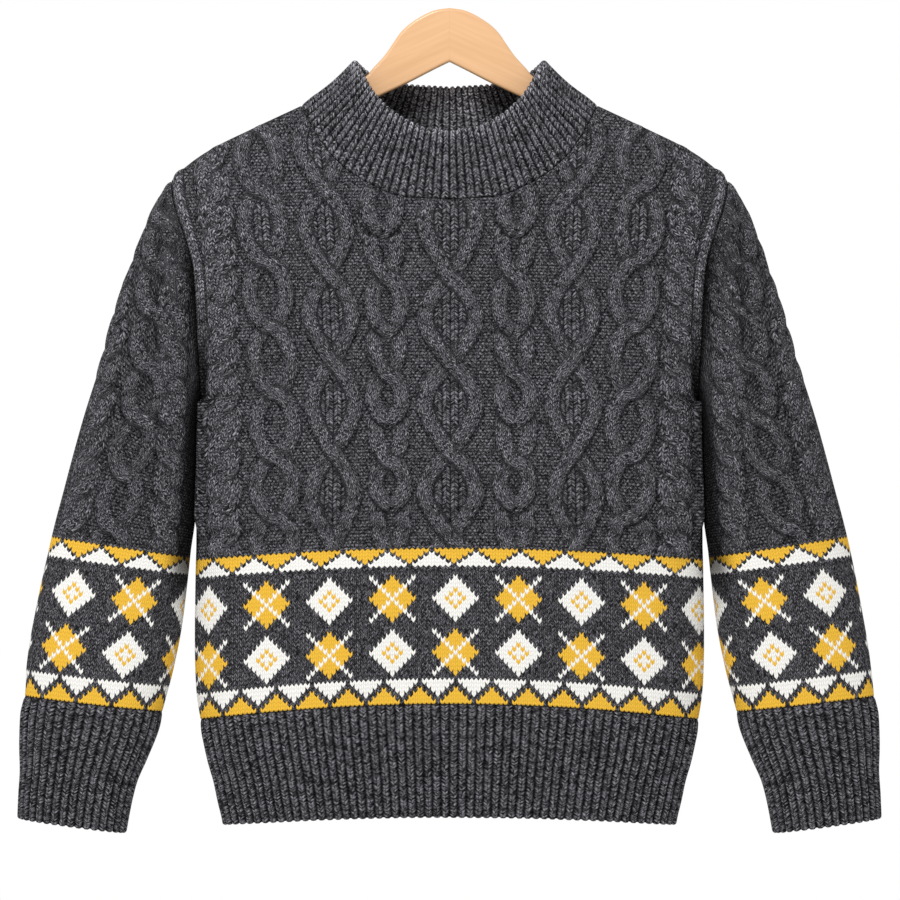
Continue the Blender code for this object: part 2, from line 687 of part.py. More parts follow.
def neckband(name, material, edges):
    """Ring from the neckline up to its own edge, front from -X to +X, then the back."""
    grids, places = [], []
    for stage in ("outside", "inside"):
        seam, rim, normals, at = [], [], [], []
        for start, side in ((0.0, "front"), (1.0, "back")):
            line = edges[side]["neck_out"]
            line = line[np.abs(line[:, 0]) <= NECK_POINT_X + 0.5]
            corners = length_along(line) / length_along(line)[-1]
            shares = np.linspace(0, 1, 2 * NECK_RIBS[side] + 1)
            if stage == "inside":
                line = edges[side]["neck_in"]
                line = line[np.abs(line[:, 0]) <= NECK_POINT_X + 0.5]
                corners = length_along(line) / length_along(line)[-1]
                shares = shares[::2]
            for corner in corners:
                shares[np.argmin(np.abs(shares - corner))] = corner
            points = np.stack([np.interp(shares, corners, line[:, k]) for k in range(3)],
                              axis=1)
            around = np.array([neck_normal(p[0], side) for p in points])
            upper = rim_points(side, shares)
            if side == "back":
                points, upper, around = points[::-1], upper[::-1], around[::-1]
                shares = 1 - shares[::-1]
            seam.append(points[:-1])
            rim.append(upper[:-1])
            normals.append(around[:-1])
            at.append(start + shares[:-1])
        seam, rim, at = np.concatenate(seam), np.concatenate(rim), np.concatenate(at)
        grid = np.array([seam, rim])
        up = rim - seam
        up /= np.linalg.norm(up, axis=1, keepdims=True)
        facing = grid_normals(grid, np.zeros(3), closed=True)
        flip = np.sum(facing * (grid - grid.mean(axis=1, keepdims=True)), axis=2, keepdims=True)
        facing *= np.sign(flip)
        facing[0] = np.concatenate(normals)
        if stage == "outside":
            grid = grid + facing * rib_lifts(grid)
        else:
            grid = grid - facing * np.array([WALL, NECK_WALL])[:, None, None]
        grid[0] += up * NECK_SEAM
        grids.append(grid)
        places.append((at, at))
    cloth_object(name, grids[0], grids[1], material, places)


# ---- hanger --------------------------------------------------------------------------
# half outline (x, z), from the crest to the tip of the arm and back to the middle; from
# x = 150 to the tip the arm lies 0.3 mm under the cloth that it carries
HANGER_TOP = ((0, 0), (12, -1.6), (22.9, -6.0), (35.6, -14.0), (44.6, -22.5), (51.8, -33),
              (59.4, -43.7), (68.9, -54), (77.9, -63.5), (104, -79.0), (134.6, -94.7),
              (150, -101.1), (180, -115.15), (206, -127.8), (214, -132.6), (220, -140.0))
HANGER_LOW = ((221.5, -147.0), (217, -153.0), (205, -149.0), (180, -135.5), (134.6, -114.5),
              (65.7, -81), (39.2, -68.4), (14, -55.5), (0, -48.6))
HANGER_HALF_THICKNESS = 6.0
HANGER_EDGE = 2.2


def hanger(name, material):
    side = list(HANGER_TOP) + list(HANGER_LOW)
    outline = side + [(-x, z) for x, z in side[::-1] if x > 0]
    outline = np.array(outline, float)
    count = len(outline)
    before = outline - np.roll(outline, 1, axis=0)
    after = np.roll(outline, -1, axis=0) - outline
    before /= np.linalg.norm(before, axis=1, keepdims=True)
    after /= np.linalg.norm(after, axis=1, keepdims=True)
    inward = np.stack([before[:, 1] + after[:, 1], -before[:, 0] - after[:, 0]], axis=1)
    inward /= np.linalg.norm(inward, axis=1, keepdims=True)
    layers = ((-HANGER_HALF_THICKNESS, HANGER_EDGE),
              (-HANGER_HALF_THICKNESS + HANGER_EDGE * 0.4, HANGER_EDGE * 0.3),
              (-HANGER_HALF_THICKNESS + HANGER_EDGE * 1.3, 0.0),
              (HANGER_HALF_THICKNESS - HANGER_EDGE * 1.3, 0.0),
              (HANGER_HALF_THICKNESS - HANGER_EDGE * 0.4, HANGER_EDGE * 0.3),
              (HANGER_HALF_THICKNESS, HANGER_EDGE))
    verts, faces = [], []
    for y, inset in layers:
        for (x, z), (nx, nz) in zip(outline, inward):
            verts.append(((x + nx * inset) * MM, y * MM, (z + nz * inset) * MM))
    for layer in range(len(layers) - 1):
        for i in range(count):
            j = (i + 1) % count
            faces.append((layer * count + i, layer * count + j,
                          (layer + 1) * count + j, (layer + 1) * count + i))
    top_count = len(HANGER_TOP)
    low_count = len(HANGER_LOW)
    for base in (0, (len(layers) - 1) * count):
        right_top = list(range(top_count))
        right_low = list(range(top_count, top_count + low_count))[::-1]
        mirror = {0: 0, top_count + low_count - 1: top_count + low_count - 1}
        for i in range(1, top_count + low_count - 1):
            mirror[i] = count - i
        for flip in (False, True):
            first = [base + (mirror[i] if flip else i) for i in right_top]
            second = [base + (mirror[i] if flip else i) for i in right_low]
            first_at = [abs(verts[i][0]) for i in first]
            second_at = [abs(verts[i][0]) for i in second]
            strip = []
            join_rims(strip, first, second, first_at, second_at)
            faces += strip
    return add_object(name, verts, faces, material)


def main():
    for obj in list(bpy.data.objects):
        bpy.data.objects.remove(obj, do_unlink=True)
    wool = make_material("charcoal_wool", (0.045, 0.047, 0.054), 0.95)
    rib_wool = make_material("charcoal_rib_wool", (0.040, 0.042, 0.049), 0.95)
    wood = make_material("pale_hardwood", (0.80, 0.56, 0.33), 0.45)
    edges = {side: panel(side, side, wool) for side in ("front", "back")}
    sleeve("sleeve_left", 1.0, wool, edges["front"], edges["back"])
    sleeve("sleeve_right", -1.0, wool, edges["front"], edges["back"])
    neckband("neckband", rib_wool, edges)
    hem_band("hem_band_front", "front", rib_wool)
    hem_band("hem_band_back", "back", rib_wool)
    cuff("cuff_left", 1.0, rib_wool)
    cuff("cuff_right", -1.0, rib_wool)
    hanger("hanger", wood)


main()
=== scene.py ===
"""Looks of a cable knit sweater that hangs on a plain wooden hanger board.

Tables are in millimetres: +X is the wearer's left, the front faces -Y, +Z is up and the
origin is the top of the hanger's crest.  Each cloth piece is a fine grid laid on the form
of its CAD solid, with the cable strands and ribs as real relief.  The stitches, the
heathered yarn and the coloured chart come from the materials, which read the piece's own
maps: "knit" holds millimetres across the stitches and millimetres below the top of the
coloured band, "strand" holds millimetres across and along the nearest cable strand.
The materials also paint light and shade into the yarn's colour, partly from each piece's
"surface" attribute: painted shade on the ground, in the hollows, grooves and creases of
the cables, between the stitches and in the valleys beside the sleeves, and painted light
on the neckband's lip and on the inside of the bands.
"""

import math

import bmesh
import bpy
import numpy as np
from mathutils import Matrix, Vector


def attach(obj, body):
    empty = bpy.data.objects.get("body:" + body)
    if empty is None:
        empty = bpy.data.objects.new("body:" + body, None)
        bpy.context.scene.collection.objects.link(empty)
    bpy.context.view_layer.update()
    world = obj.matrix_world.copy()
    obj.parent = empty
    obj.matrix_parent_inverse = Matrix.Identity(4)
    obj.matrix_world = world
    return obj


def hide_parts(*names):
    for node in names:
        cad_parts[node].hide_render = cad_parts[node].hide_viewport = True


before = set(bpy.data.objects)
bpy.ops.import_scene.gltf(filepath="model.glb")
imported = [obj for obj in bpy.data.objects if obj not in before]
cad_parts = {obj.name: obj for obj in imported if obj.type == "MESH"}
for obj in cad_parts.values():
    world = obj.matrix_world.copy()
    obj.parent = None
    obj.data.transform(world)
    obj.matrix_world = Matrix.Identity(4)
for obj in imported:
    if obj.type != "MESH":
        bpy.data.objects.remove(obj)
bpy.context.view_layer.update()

MM = 0.001
WALL = 3.0
UNDERARM_Z = -356.0
NECK_POINT_X = 134.6
SHOULDER_TIP = (252.0, -157.0)
SHOULDER_ROUND = 160.0
HEM_SEAM_Z, HEM_EDGE_Z, JOIN_Z = -629.0, -731.0, -215.0
BAND_TOP = -489.0            # level of the coloured band's upper edge
BAND_HEIGHT = 140.0
STITCH_WIDE, STITCH_HIGH = 3.78, 3.74


def smooth_table(*points):
    """Monotone cubic through (key, value) points with rising keys."""
    xs = np.array([p[0] for p in points], float)
    ys = np.array([p[1] for p in points], float)
    step = np.diff(xs)
    slope = np.diff(ys) / step
    tangent = np.zeros_like(xs)
    tangent[0], tangent[-1] = slope[0], slope[-1]
    for i in range(1, len(xs) - 1):
        if slope[i - 1] * slope[i] > 0:
            w1 = 2 * step[i] + step[i - 1]
            w2 = step[i] + 2 * step[i - 1]
            tangent[i] = (w1 + w2) / (w1 / slope[i - 1] + w2 / slope[i])

    def value(x):
        x = np.clip(np.asarray(x, float), xs[0], xs[-1])
        i = np.clip(np.searchsorted(xs, x, side="right") - 1, 0, len(xs) - 2)
        t = (x - xs[i]) / step[i]
        return (ys[i] * (1 + 2 * t) * (1 - t) ** 2 + ys[i + 1] * t * t * (3 - 2 * t)
                + step[i] * t * (1 - t) * (tangent[i] * (1 - t) - tangent[i + 1] * t))
    return value


def fade(value, low, high):
    """0 below low, 1 above high, smooth between."""
    t = np.clip((np.asarray(value, float) - low) / (high - low), 0, 1)
    return t * t * (3 - 2 * t)


def distances(*coordinates):
    """Distance along a line from its first point."""
    steps = np.sqrt(sum(np.diff(values) ** 2 for values in coordinates))
    return np.concatenate([[0], np.cumsum(steps)])


FACING = {"front": -1.0, "back": 1.0}


# ---- the body's form -----------------------------------------------------------------
EDGE = smooth_table(
    (-746, 203.0), (-737, 204.2), (-719, 208.4), (-701, 212.2), (-683, 217.4),
    (-665, 221.4), (-645, 225.5), (-629, 228.2), (-611, 230.0), (-575, 230.9),
    (-503, 230.0), (-450, 227.5), (-400, 225.6), (-356, 225.0), (-300, 227.3),
    (-265, 229.0), (-235, 231.5), (-215, 236.5), (-200, 241.5), (-184, 247.0),
    (-170, 250.4), (-157, 252.0))
PAST_EDGE = smooth_table((-356, 0.0), (-350, 5.0), (-344, 9.0), (-332, 15.5), (-319, 21.0),
                         (-300, 28.0), (-265, 38.0), (-215, 53.5), (-157, 56.0))
DEPTH = {
    "front": smooth_table((-746, 37), (-640, 44), (-500, 50), (-356, 53), (-250, 54),
                          (-175, 52), (-50, 50)),
    "back": smooth_table((-746, 33), (-640, 39), (-500, 44), (-356, 47), (-250, 50),
                         (-126, 49), (-50, 48)),
}
RIDGE = smooth_table((0, -26), (60, -53), (100, -72), (134.6, -88.5), (180.5, -110),
                     (217.4, -128.5), (240, -144.5), (252, -157), (270, -178))
NECKLINE = {
    "front": smooth_table((0, -175.5), (42.8, -172.4), (71.5, -161.1), (99.5, -142.0),
                          (120, -116.5), (134.6, -88.5)),
    "back": smooth_table((0, -128), (50, -124.5), (90, -114), (115, -102.5),
                         (134.6, -88.5)),
}
ROW_DROP = smooth_table((-735, 9.9), (-629, 15.3), (-489, 11.0), (-348, 8.0), (-215, 5.0))


def body_depth(x, z, side):
    reach = EDGE(z) + np.where(z > UNDERARM_Z, PAST_EDGE(z), 0.0)
    round_side = np.sqrt(np.clip(1 - (x / reach) ** 3, 0, 1))
    below = np.clip((RIDGE(x) - z) / SHOULDER_ROUND, 0, 1)
    return DEPTH[side](z) * round_side * np.sqrt(1 - (1 - below) ** 2)


def top_edge(x, side):
    return np.where(x < NECK_POINT_X, NECKLINE[side](x), RIDGE(x))


def body_row(level, rise, side, samples=260):
    """One knitted row from the middle to the panel's side edge: x, y, z and distance q."""
    def height(x):
        z = level - ROW_DROP(level) * (x / 228.0) ** 2
        return z + rise * (top_edge(x, side) - z) if rise > 0 else z

    end = 228.0
    for _ in range(40):
        end = float(EDGE(height(end)))
    if rise >= 1:
        end = SHOULDER_TIP[0]
    x = end * np.sin(np.linspace(0, math.pi / 2, samples))
    x[np.argmin(np.abs(x - NECK_POINT_X))] = min(NECK_POINT_X, end)
    z = height(x)
    y = body_depth(x, z, side)
    if z[-1] <= UNDERARM_Z + 0.3 or rise >= 1:
        y[-1] = 0.0
    return x, y, z, distances(x, y)


def spread(row, shares, side):
    """Points of a row by their shares of its half length, and distances to its ends."""
    x, y, z, q = row
    at = np.abs(shares) * q[-1]
    points = np.stack([np.interp(at, q, x) * np.sign(shares), FACING[side] * np.interp(at, q, y),
                       np.interp(at, q, z)], axis=1)
    return points, q[-1] - at


# ---- cables --------------------------------------------------------------------------
STRAND_RISE = 4.1
CABLE_RIB = 7.4       # spacing of the ribs inside a diamond
CABLE_RIB_RISE = 1.9
OVER, UNDER = 0.12, -0.74           # what a strand's height gains or loses at a crossing
# Painted shade: factors that darken the yarn's colour on the purl ground, in an open hollow, on the
# ribs inside a diamond and at a strand's edges, less on a strand's top, and most in the crease
# beside a strand.
GROUND_SHADE, HOLLOW_SHADE, CABLE_RIB_SHADE = 0.60, 0.54, 0.72
STRAND_EDGE_SHADE, STRAND_TOP_SHADE, CREASE_SHADE = 0.67, 0.86, 0.46


def leaf(f):
    """Pointed at the foot and blunter at the top."""
    return 1 - np.abs(2 * f - 1) ** np.where(f > 0.5, 2.0, 1.35)


def ring(f):
    return np.sin(math.pi * f) ** np.where(f > 0.5, 0.5, 0.62)


def cup(f):
    """Opens upwards from its foot; its two tips end below the next crossing."""
    return 0.86 * np.sin(math.pi / 2 * np.clip(f / 0.62, 0, 1)) ** 0.9 * (1 - fade(f, 0.93, 1.0))


RING_CROSS = (-505, -461, -407, -349, -290, -231, -166.5, -110)
DIAMOND_CROSS = (-486, -403, -321, -241, -165, -90)
BEAD_CROSS = (-495, -450, -411, -373.5, -333, -292.5, -245, -203, -160, -112)
ROPE_CROSS = (-512, -481.5, -451, -420.3, -389.7, -359, -327.6, -296, -264.6, -235.8,
              -204.3, -173.7, -143, -112)
# a kind of cable: half width between strand centres, half width of a strand, the shapes
# between crossings, which of its hollows are ribbed, and its crossings from the bottom up
CORD = dict(half=7.2, wide=9.4, shapes=(ring,), ribbed=None, cross=ROPE_CROSS)
RINGS = dict(half=16.6, wide=7.0, shapes=(ring,), ribbed="second", cross=RING_CROSS)
DIAMONDS = dict(half=19.3, wide=6.9, shapes=(leaf,), ribbed="all", cross=DIAMOND_CROSS)
BEADS = dict(half=13.0, wide=7.4, shapes=(cup, ring), ribbed=None, cross=BEAD_CROSS)
MIDDLE = dict(half=23.2, wide=7.3, shapes=(leaf,), ribbed="all",
              cross=(-555, -478.5, -402, -322, -245.7, -150, -60))


def cable(kind, lean, *line, **changes):
    """A cable column: its centre line (height, distance), and the lean of the strand that
    passes over, -1 where it falls to the right and 1 where it rises to the right."""
    return {**kind, "lean": lean, "line": smooth_table(*line), **changes}


COLUMNS = (
    cable(CORD, 1, (-460, -202.5), (-330, -204.5), (-211, -208.5), (-140, -217.0)),
    cable(RINGS, -1, (-450, -157.0), (-369, -157.0), (-313, -159.8), (-259, -163.4),
          (-198, -168.8), (-120, -173.0)),
    cable(DIAMONDS, -1, (-447, -105.0), (-362, -104.0), (-277, -106.9), (-198, -111.4),
          (-110, -117.0)),
    cable(BEADS, -1, (-434, -52.7), (-358, -55.4), (-272, -56.3), (-183, -60.8)),
    cable(MIDDLE, -1, (-480, 0.9), (-150, 0.9)),
    cable(BEADS, -1, (-434, 59.0), (-358, 60.0), (-272, 57.6), (-183, 60.5)),
    cable(DIAMONDS, 1, (-447, 113.8), (-362, 111.5), (-277, 110.0), (-198, 111.5),
          (-110, 117.0)),
    cable(RINGS, 1, (-428, 163.0), (-369, 162.5), (-315, 164.5), (-259, 165.5),
          (-198, 171.0), (-120, 172.0)),
    cable(CORD, -1, (-460, 203.5), (-330, 205.5), (-211, 210.0), (-140, 217.0)),
)


def parting(column, z):
    """Signed half distance between the strands: it changes sign at each crossing."""
    cross = np.array(column["cross"], float)
    i = np.clip(np.searchsorted(cross, z, side="right") - 1, 0, len(cross) - 2)
    f = np.clip((z - cross[i]) / (cross[i + 1] - cross[i]), 0, 1)
    shapes = column["shapes"]
    apart = np.zeros_like(z)
    for k, shape in enumerate(shapes):
        apart = np.where(i % len(shapes) == k, shape(f), apart)
    return column["half"] * apart * np.where(i % 2 == 0, 1.0, -1.0)


def over_under(column, z, strand):
    """Height factor along a strand: it rides over or dips under at each crossing."""
    factor = np.ones_like(z)
    cross = column["cross"]
    kinds = column["shapes"]
    for number, height in enumerate(cross):
        below = kinds[(number - 1) % len(kinds)]
        if below is cup:
            tips = (z < height) & (z > height - 20)
            share = (height - z) / (cross[number] - cross[number - 1])
            factor = np.where(tips, factor * fade(share, 0.05, 0.2), factor)
            continue
        over = ((number % 2 == 1) == (strand > 0)) == (column["lean"] < 0)
        near = np.exp(-((z - height) / (7.0 + 0.15 * column["wide"])) ** 2)
        factor += near * (OVER if over else UNDER)
    return factor


def strand_relief(column, path_x, path_z, x, z, out):
    """Raise the two strands of a column over the points (x, z) of a flat map.

    path_x and path_z give the column's centre line on that map.  `out` holds the arrays
    that a piece's relief, maps and painted shade are made from, which are changed in place.
    """
    wide = column["wide"]
    step = distances(path_x, path_z)
    fine = np.linspace(0, step[-1], int(step[-1] / 0.7))
    mid_x, mid_z = np.interp(fine, step, path_x), np.interp(fine, step, path_z)
    centre = np.interp(z, path_z, path_x)
    near = (np.abs(x - centre) < column["half"] + wide + 6) \
        & (z > path_z.min() - 4) & (z < path_z.max() + 4)
    px, pz, centre = x[near], z[near], centre[near]
    rise, strand, shade = out["rise"][near], out["strand"][near], out["shade"][near]
    across, along = out["across"][near], out["along"][near]
    found = []
    for sign in (1.0, -1.0):
        line_x = mid_x + sign * parting(column, mid_z)
        length = distances(line_x, mid_z)
        turn = np.stack([np.gradient(line_x), np.gradient(mid_z)], axis=1)
        turn /= np.linalg.norm(turn, axis=1, keepdims=True)
        lift = over_under(column, mid_z, sign)
        distance, factor, under = np.zeros_like(px), np.zeros_like(px), np.zeros_like(px)
        for start in range(0, len(px), 4000):
            part = slice(start, start + 4000)
            gap_x = px[part, None] - line_x[None, :]
            gap_z = pz[part, None] - mid_z[None, :]
            square = gap_x ** 2 + gap_z ** 2
            at = square.argmin(axis=1)
            each = np.arange(len(at))
            d = np.sqrt(square[each, at])
            side = np.sign(gap_x[each, at] * turn[at, 1] - gap_z[each, at] * turn[at, 0])
            distance[part], factor[part] = d, lift[at]
            under[part] = fade(-gap_z[each, at] / np.maximum(d, 0.5), -0.35, 0.5)
            dome = np.clip(1 - (d / wide) ** 2, 0, 1) ** 0.45 * STRAND_RISE * lift[at]
            higher = dome > rise[part]
            closer = higher | ((rise[part] <= 0) & (d < wide + 3))
            rise[part] = np.where(higher, dome, rise[part])
            strand[part] = np.where(higher, 1.0, strand[part])
            across[part] = np.where(closer, d * side * 7.6 / wide + 1.9, across[part])
            along[part] = np.where(closer, length[at], along[part])
        found.append((distance, factor, under))
    # Painted shadow: a dark crease just outside each strand's edge, stronger below the strand than
    # above it, and half as strong on the ribs.
    crease_shadow = np.zeros_like(px)
    for distance, factor, under in found:
        edge = np.exp(-((distance - wide - 0.5) / 1.9) ** 2) * np.clip(factor, 0, 1) \
            * (0.45 + 0.55 * under)
        crease_shadow = np.where(rise < 0.62 * STRAND_RISE * factor, np.maximum(crease_shadow, edge), crease_shadow)
    ribbed = column["ribbed"]
    if ribbed:
        apart = np.abs(parting(column, pz)) - wide - 0.3
        inside = fade(apart, 0.0, 3.0) * fade(apart - np.abs(px - centre), -1.0, 1.5)
        if ribbed == "second":
            inside = inside * (fade(pz, -232, -226) * fade(-pz, 166, 172))
        ribs = 1 - np.abs(np.cos(math.pi * (px - centre) / CABLE_RIB)) ** 3.0
        height = CABLE_RIB_RISE * ribs * inside
        plain = height > rise
        rise = np.where(plain, height, rise)
        is_rib = (inside > 0.4) & (strand < 0.5)
        out["rib"][near] = np.where(is_rib, 1.0, out["rib"][near])
        across = np.where(is_rib, ((px - centre) / CABLE_RIB + 0.5) * 3.8, across)
        along = np.where(is_rib, pz, along)
        crease_shadow = np.where(is_rib, 0.5 * crease_shadow, crease_shadow)
    # Painted shade: the ground, an open hollow, a diamond's ribs and a strand's edges are darker
    # than a strand's top, and the crease shadow darkens them further.
    hollow = (strand < 0.5) & (np.abs(px - centre) < column["half"])
    raised = np.clip(rise / STRAND_RISE, 0, 1)
    on_strand = STRAND_EDGE_SHADE + (STRAND_TOP_SHADE - STRAND_EDGE_SHADE) * raised
    shade = np.where(strand > 0.5, on_strand, shade)
    shade = np.where(out["rib"][near] > 0.5, CABLE_RIB_SHADE, shade)
    shade = np.where(hollow & (not ribbed), HOLLOW_SHADE, shade)
    shade = shade * (1 - (1 - CREASE_SHADE) * crease_shadow)
    out["rise"][near], out["strand"][near], out["shade"][near] = rise, strand, shade
    out["across"][near], out["along"][near] = across, along


def blank_relief(shape):
    out = {k: np.zeros(shape) for k in ("rise", "strand", "rib", "plain", "across", "along")}
    out["shade"] = np.full(shape, GROUND_SHADE)
    return out


WALE_GAP, WALE_RISE = 5.6, 2.8      # the single wale beside each armhole


def body_relief(x, z, level, top, edge_gap):
    """Rise, maps and painted shade of the cables on the front or back at the points (x, z)."""
    out = blank_relief(x.shape)
    path_z = np.linspace(-520, -60, 400)
    for column in COLUMNS:
        strand_relief(column, column["line"](path_z), path_z, x, z, out)
    keep = fade(level, BAND_TOP - 1, BAND_TOP + 4) * fade(top, 0.3, 4.0)
    for label in ("strand", "rib"):
        out[label] *= fade(keep, 0.0, 0.4)
    out["rise"] *= keep * fade(edge_gap, 7.0, 12.0)
    off_wale = edge_gap - WALE_GAP
    wale = np.clip(1 - np.abs(off_wale / 5.2) ** 2.4, 0, 1) ** 0.6
    beside = (edge_gap < 12.0) & (z > -300)
    on_wale = beside & (wale > 0)
    wale = wale * fade(z, -300, -255)
    out["rise"] = np.where(beside, WALE_RISE * wale, out["rise"])
    out["strand"] = np.where(beside, np.where(on_wale, 1.0, 0.0), out["strand"])
    out["across"] = np.where(on_wale, off_wale * 0.75 + 1.9, out["across"])
    out["along"] = np.where(on_wale, z, out["along"])
    # Painted shade: the wale is lighter on its crown and darker beside it, and lower down the edge
    # takes the ground's painted shade.
    lit = 0.35 + 0.65 * fade(wale, 0.0, 0.8)
    lit += (GROUND_SHADE - lit) * (1 - fade(z, -300, -265))
    out["shade"] = np.where(beside, lit, out["shade"])
    above = fade(level, BAND_TOP - 1, BAND_TOP + 2)
    out["plain"] = 1 - above
    out["rib"] *= above
    out["shade"] = out["shade"] * above + (1 - above)
    return out


# ---- meshes --------------------------------------------------------------------------
def sheet_normals(points, outward, around=False):
    """Unit normals of a grid of points, turned to agree with outward."""
    if around:
        across = np.roll(points, -1, axis=1) - np.roll(points, 1, axis=1)
    else:
        across = np.gradient(points, axis=1)
    along = np.gradient(points, axis=0)
    normal = np.cross(across, along)
    normal /= np.maximum(np.linalg.norm(normal, axis=2, keepdims=True), 1e-9)
    flip = np.sign(np.sum(normal * outward, axis=2, keepdims=True))
    return normal * np.where(flip == 0, 1, flip)


def laid_grid(name, points, knit, strand, surface):
    """A mesh grid laid on points (rows, columns, 3) in millimetres, with its maps."""
    rows, columns = points.shape[:2]
    bm = bmesh.new()
    bmesh.ops.create_grid(bm, x_segments=columns - 1, y_segments=rows - 1, size=0.5)
    mesh = bpy.data.meshes.new(name)
    bm.to_mesh(mesh)
    bm.free()
    flat = np.empty(len(mesh.vertices) * 3)
    mesh.vertices.foreach_get("co", flat)
    flat = flat.reshape(-1, 3)
    c = np.rint((flat[:, 0] + 0.5) * (columns - 1)).astype(int)
    r = np.rint((flat[:, 1] + 0.5) * (rows - 1)).astype(int)
    mesh.vertices.foreach_set("co", (points[r, c] * MM).ravel())
    corner = np.empty(len(mesh.loops), int)
    mesh.loops.foreach_get("vertex_index", corner)
    for label, table in (("knit", knit), ("strand", strand)):
        layer = mesh.uv_layers.new(name=label)
        layer.data.foreach_set("uv", (table[r, c] * MM)[corner].ravel())
    values = surface[r, c]
    attribute = mesh.attributes.new("surface", "FLOAT_COLOR", "POINT")
    attribute.data.foreach_set("color", values.ravel())
    return mesh


def finish_mesh(bm, name, material):
    """Close the mesh, turn its faces outwards and give it its object."""
    bmesh.ops.recalc_face_normals(bm, faces=bm.faces[:])
    for face in bm.faces:
        face.smooth = True
    mesh = bpy.data.meshes.new(name)
    bm.to_mesh(mesh)
    bm.free()
    mesh.materials.append(material)
    piece = bpy.data.objects.new(name, mesh)
    bpy.context.scene.collection.objects.link(piece)
    return piece


def fill_maps(bm, new_faces):
    """Give the faces of a rim the maps of the corners that they share."""
    for label in ("knit", "strand"):
        layer = bm.loops.layers.uv[label]
        made = set(new_faces)
        for face in new_faces:
            for loop in face.loops:
                for other in loop.vert.link_loops:
                    if other.face not in made:
                        loop[layer].uv = other[layer].uv
                        break


def walled_piece(name, outside, inside, material):
    """A fine outer grid and a plain inner grid, bridged round their rims."""
    bm = bmesh.new()
    bm.from_mesh(outside)
    bm.from_mesh(inside)
    for mesh in (outside, inside):
        bpy.data.meshes.remove(mesh)
    seam = [v for v in bm.verts if v.is_boundary]
    bmesh.ops.remove_doubles(bm, verts=seam, dist=1e-6)
    rims = [e for e in bm.edges if e.is_boundary]
    made = bmesh.ops.bridge_loops(bm, edges=rims)
    fill_maps(bm, made["faces"])
    return finish_mesh(bm, name, material)


# ---- directions that two pieces share along a seam -------------------------------------
def unit(vectors):
    return vectors / np.maximum(np.linalg.norm(vectors, axis=-1, keepdims=True), 1e-9)


def neck_normals(x, side):
    share = np.clip(np.abs(x) / NECK_POINT_X, 0, 1)
    facing = FACING[side]
    return unit(np.stack([np.sign(x) * 0.62 * share ** 2,
                          facing * np.sqrt(np.clip(1 - share ** 4, 0, 1)),
                          0.12 + 0.68 * share ** 3], axis=-1))


def armhole_depth(z, side):
    z = np.clip(z, UNDERARM_Z, SHOULDER_TIP[1])
    y = body_depth(EDGE(z), z, side)
    return np.where((z >= SHOULDER_TIP[1] - 0.01) | (z <= UNDERARM_Z + 0.3), 0.0, y)


def armhole_normals(z, side):
    facing = FACING[side]
    upper = np.clip(z + 1.5, UNDERARM_Z + 0.1, SHOULDER_TIP[1])
    lower = np.clip(z - 1.5, UNDERARM_Z, SHOULDER_TIP[1] - 0.1)
    rise = armhole_depth(upper, side) - armhole_depth(lower, side)
    n = unit(np.stack([0 * z, facing * (upper - lower), -rise], axis=-1))
    n[z > SHOULDER_TIP[1] - 0.3] = (0, 0, 1)
    n[z < UNDERARM_Z + 0.5] = (0, 0, -1)
    return n


def turned_at_seams(normal, points, gap, top, side, near):
    """Turn a panel's normals to the seams' shared directions within `near` of its rim."""
    x, z = points[:, :, 0], points[:, :, 2]
    outward = np.stack([np.sign(x), 0 * x, 0 * x], axis=-1)
    under = fade(z, UNDERARM_Z - 5, UNDERARM_Z + 3)[:, :, None]
    edge = unit(outward * (1 - under) + armhole_normals(z, side) * under)
    slope = (RIDGE(np.abs(x) + 1) - RIDGE(np.abs(x) - 1)) / 2
    ridge = unit(np.stack([-slope * np.sign(x), 0 * x, 1 + 0 * x], axis=-1))
    above = np.where((np.abs(x) <= NECK_POINT_X + 0.5)[:, :, None], neck_normals(x, side), ridge)
    at_top = (1 - fade(top, 0, near))[:, :, None]
    at_edge = (1 - fade(gap, 0, near))[:, :, None]
    return unit(normal * (1 - at_edge) * (1 - at_top) + above * at_top * (1 - at_edge)
                + edge * at_edge)


# ---- front and back ------------------------------------------------------------------
PANEL_COLUMNS = 341
LEVELS = np.arange(HEM_SEAM_Z, JOIN_Z, 1.95)
RISES = np.linspace(0.0, 1.0, 46)
CHART_X = 5.4            # where the chart's first white diamond is centred


def soft_waves(x, z, seed):
    """Slow unevenness of hanging cloth."""
    return (1.1 * np.sin(x / 41 + 0.7 * seed + z / 97) * np.sin(z / 63 + seed)
            + 0.7 * np.sin(x / 23 - z / 71 + 2.1 * seed) + 0.5 * np.sin(z / 31 + x / 55 + seed))


def panel_points(side, columns, levels, rises):
    """Points of a panel's base form, with distances along the rows and to the side edge."""
    rows = [body_row(float(v), 0.0, side) for v in levels]
    rows += [body_row(JOIN_Z, float(v), side) for v in rises]
    shares = np.linspace(-1, 1, columns)
    points, gap = [np.array(part) for part in zip(*[spread(row, shares, side) for row in rows])]
    x, z = points[:, :, 0], points[:, :, 2]
    level = z.copy()
    for _ in range(8):
        level = z + ROW_DROP(level) * (x / 228.0) ** 2
    top = np.abs(top_edge(np.abs(x), side) - z) * 0.8
    top[-1] = 0.0
    return points, gap, level, top


def surface_of(relief):
    """The four values that the material reads: strand, plain, painted shade and rib."""
    return np.stack([relief[k] for k in ("strand", "plain", "shade", "rib")], axis=-1)


# how far the body and the sleeve fill the slit between them below the underarm
SLEEVE_INNER = smooth_table((-561, 242.2), (-524.5, 237.5), (-492, 234.0), (-466, 231.4),
                            (-441, 230.3), (-419, 229.8), (-402, 229.4), (-391, 229.0),
                            (-383, 228.6), (-377, 228.2), (-368, 227.3), (-356, 225.0))


def slit(z):
    return np.maximum(SLEEVE_INNER(z) + RING_START - EDGE(z) - 0.5, 0)


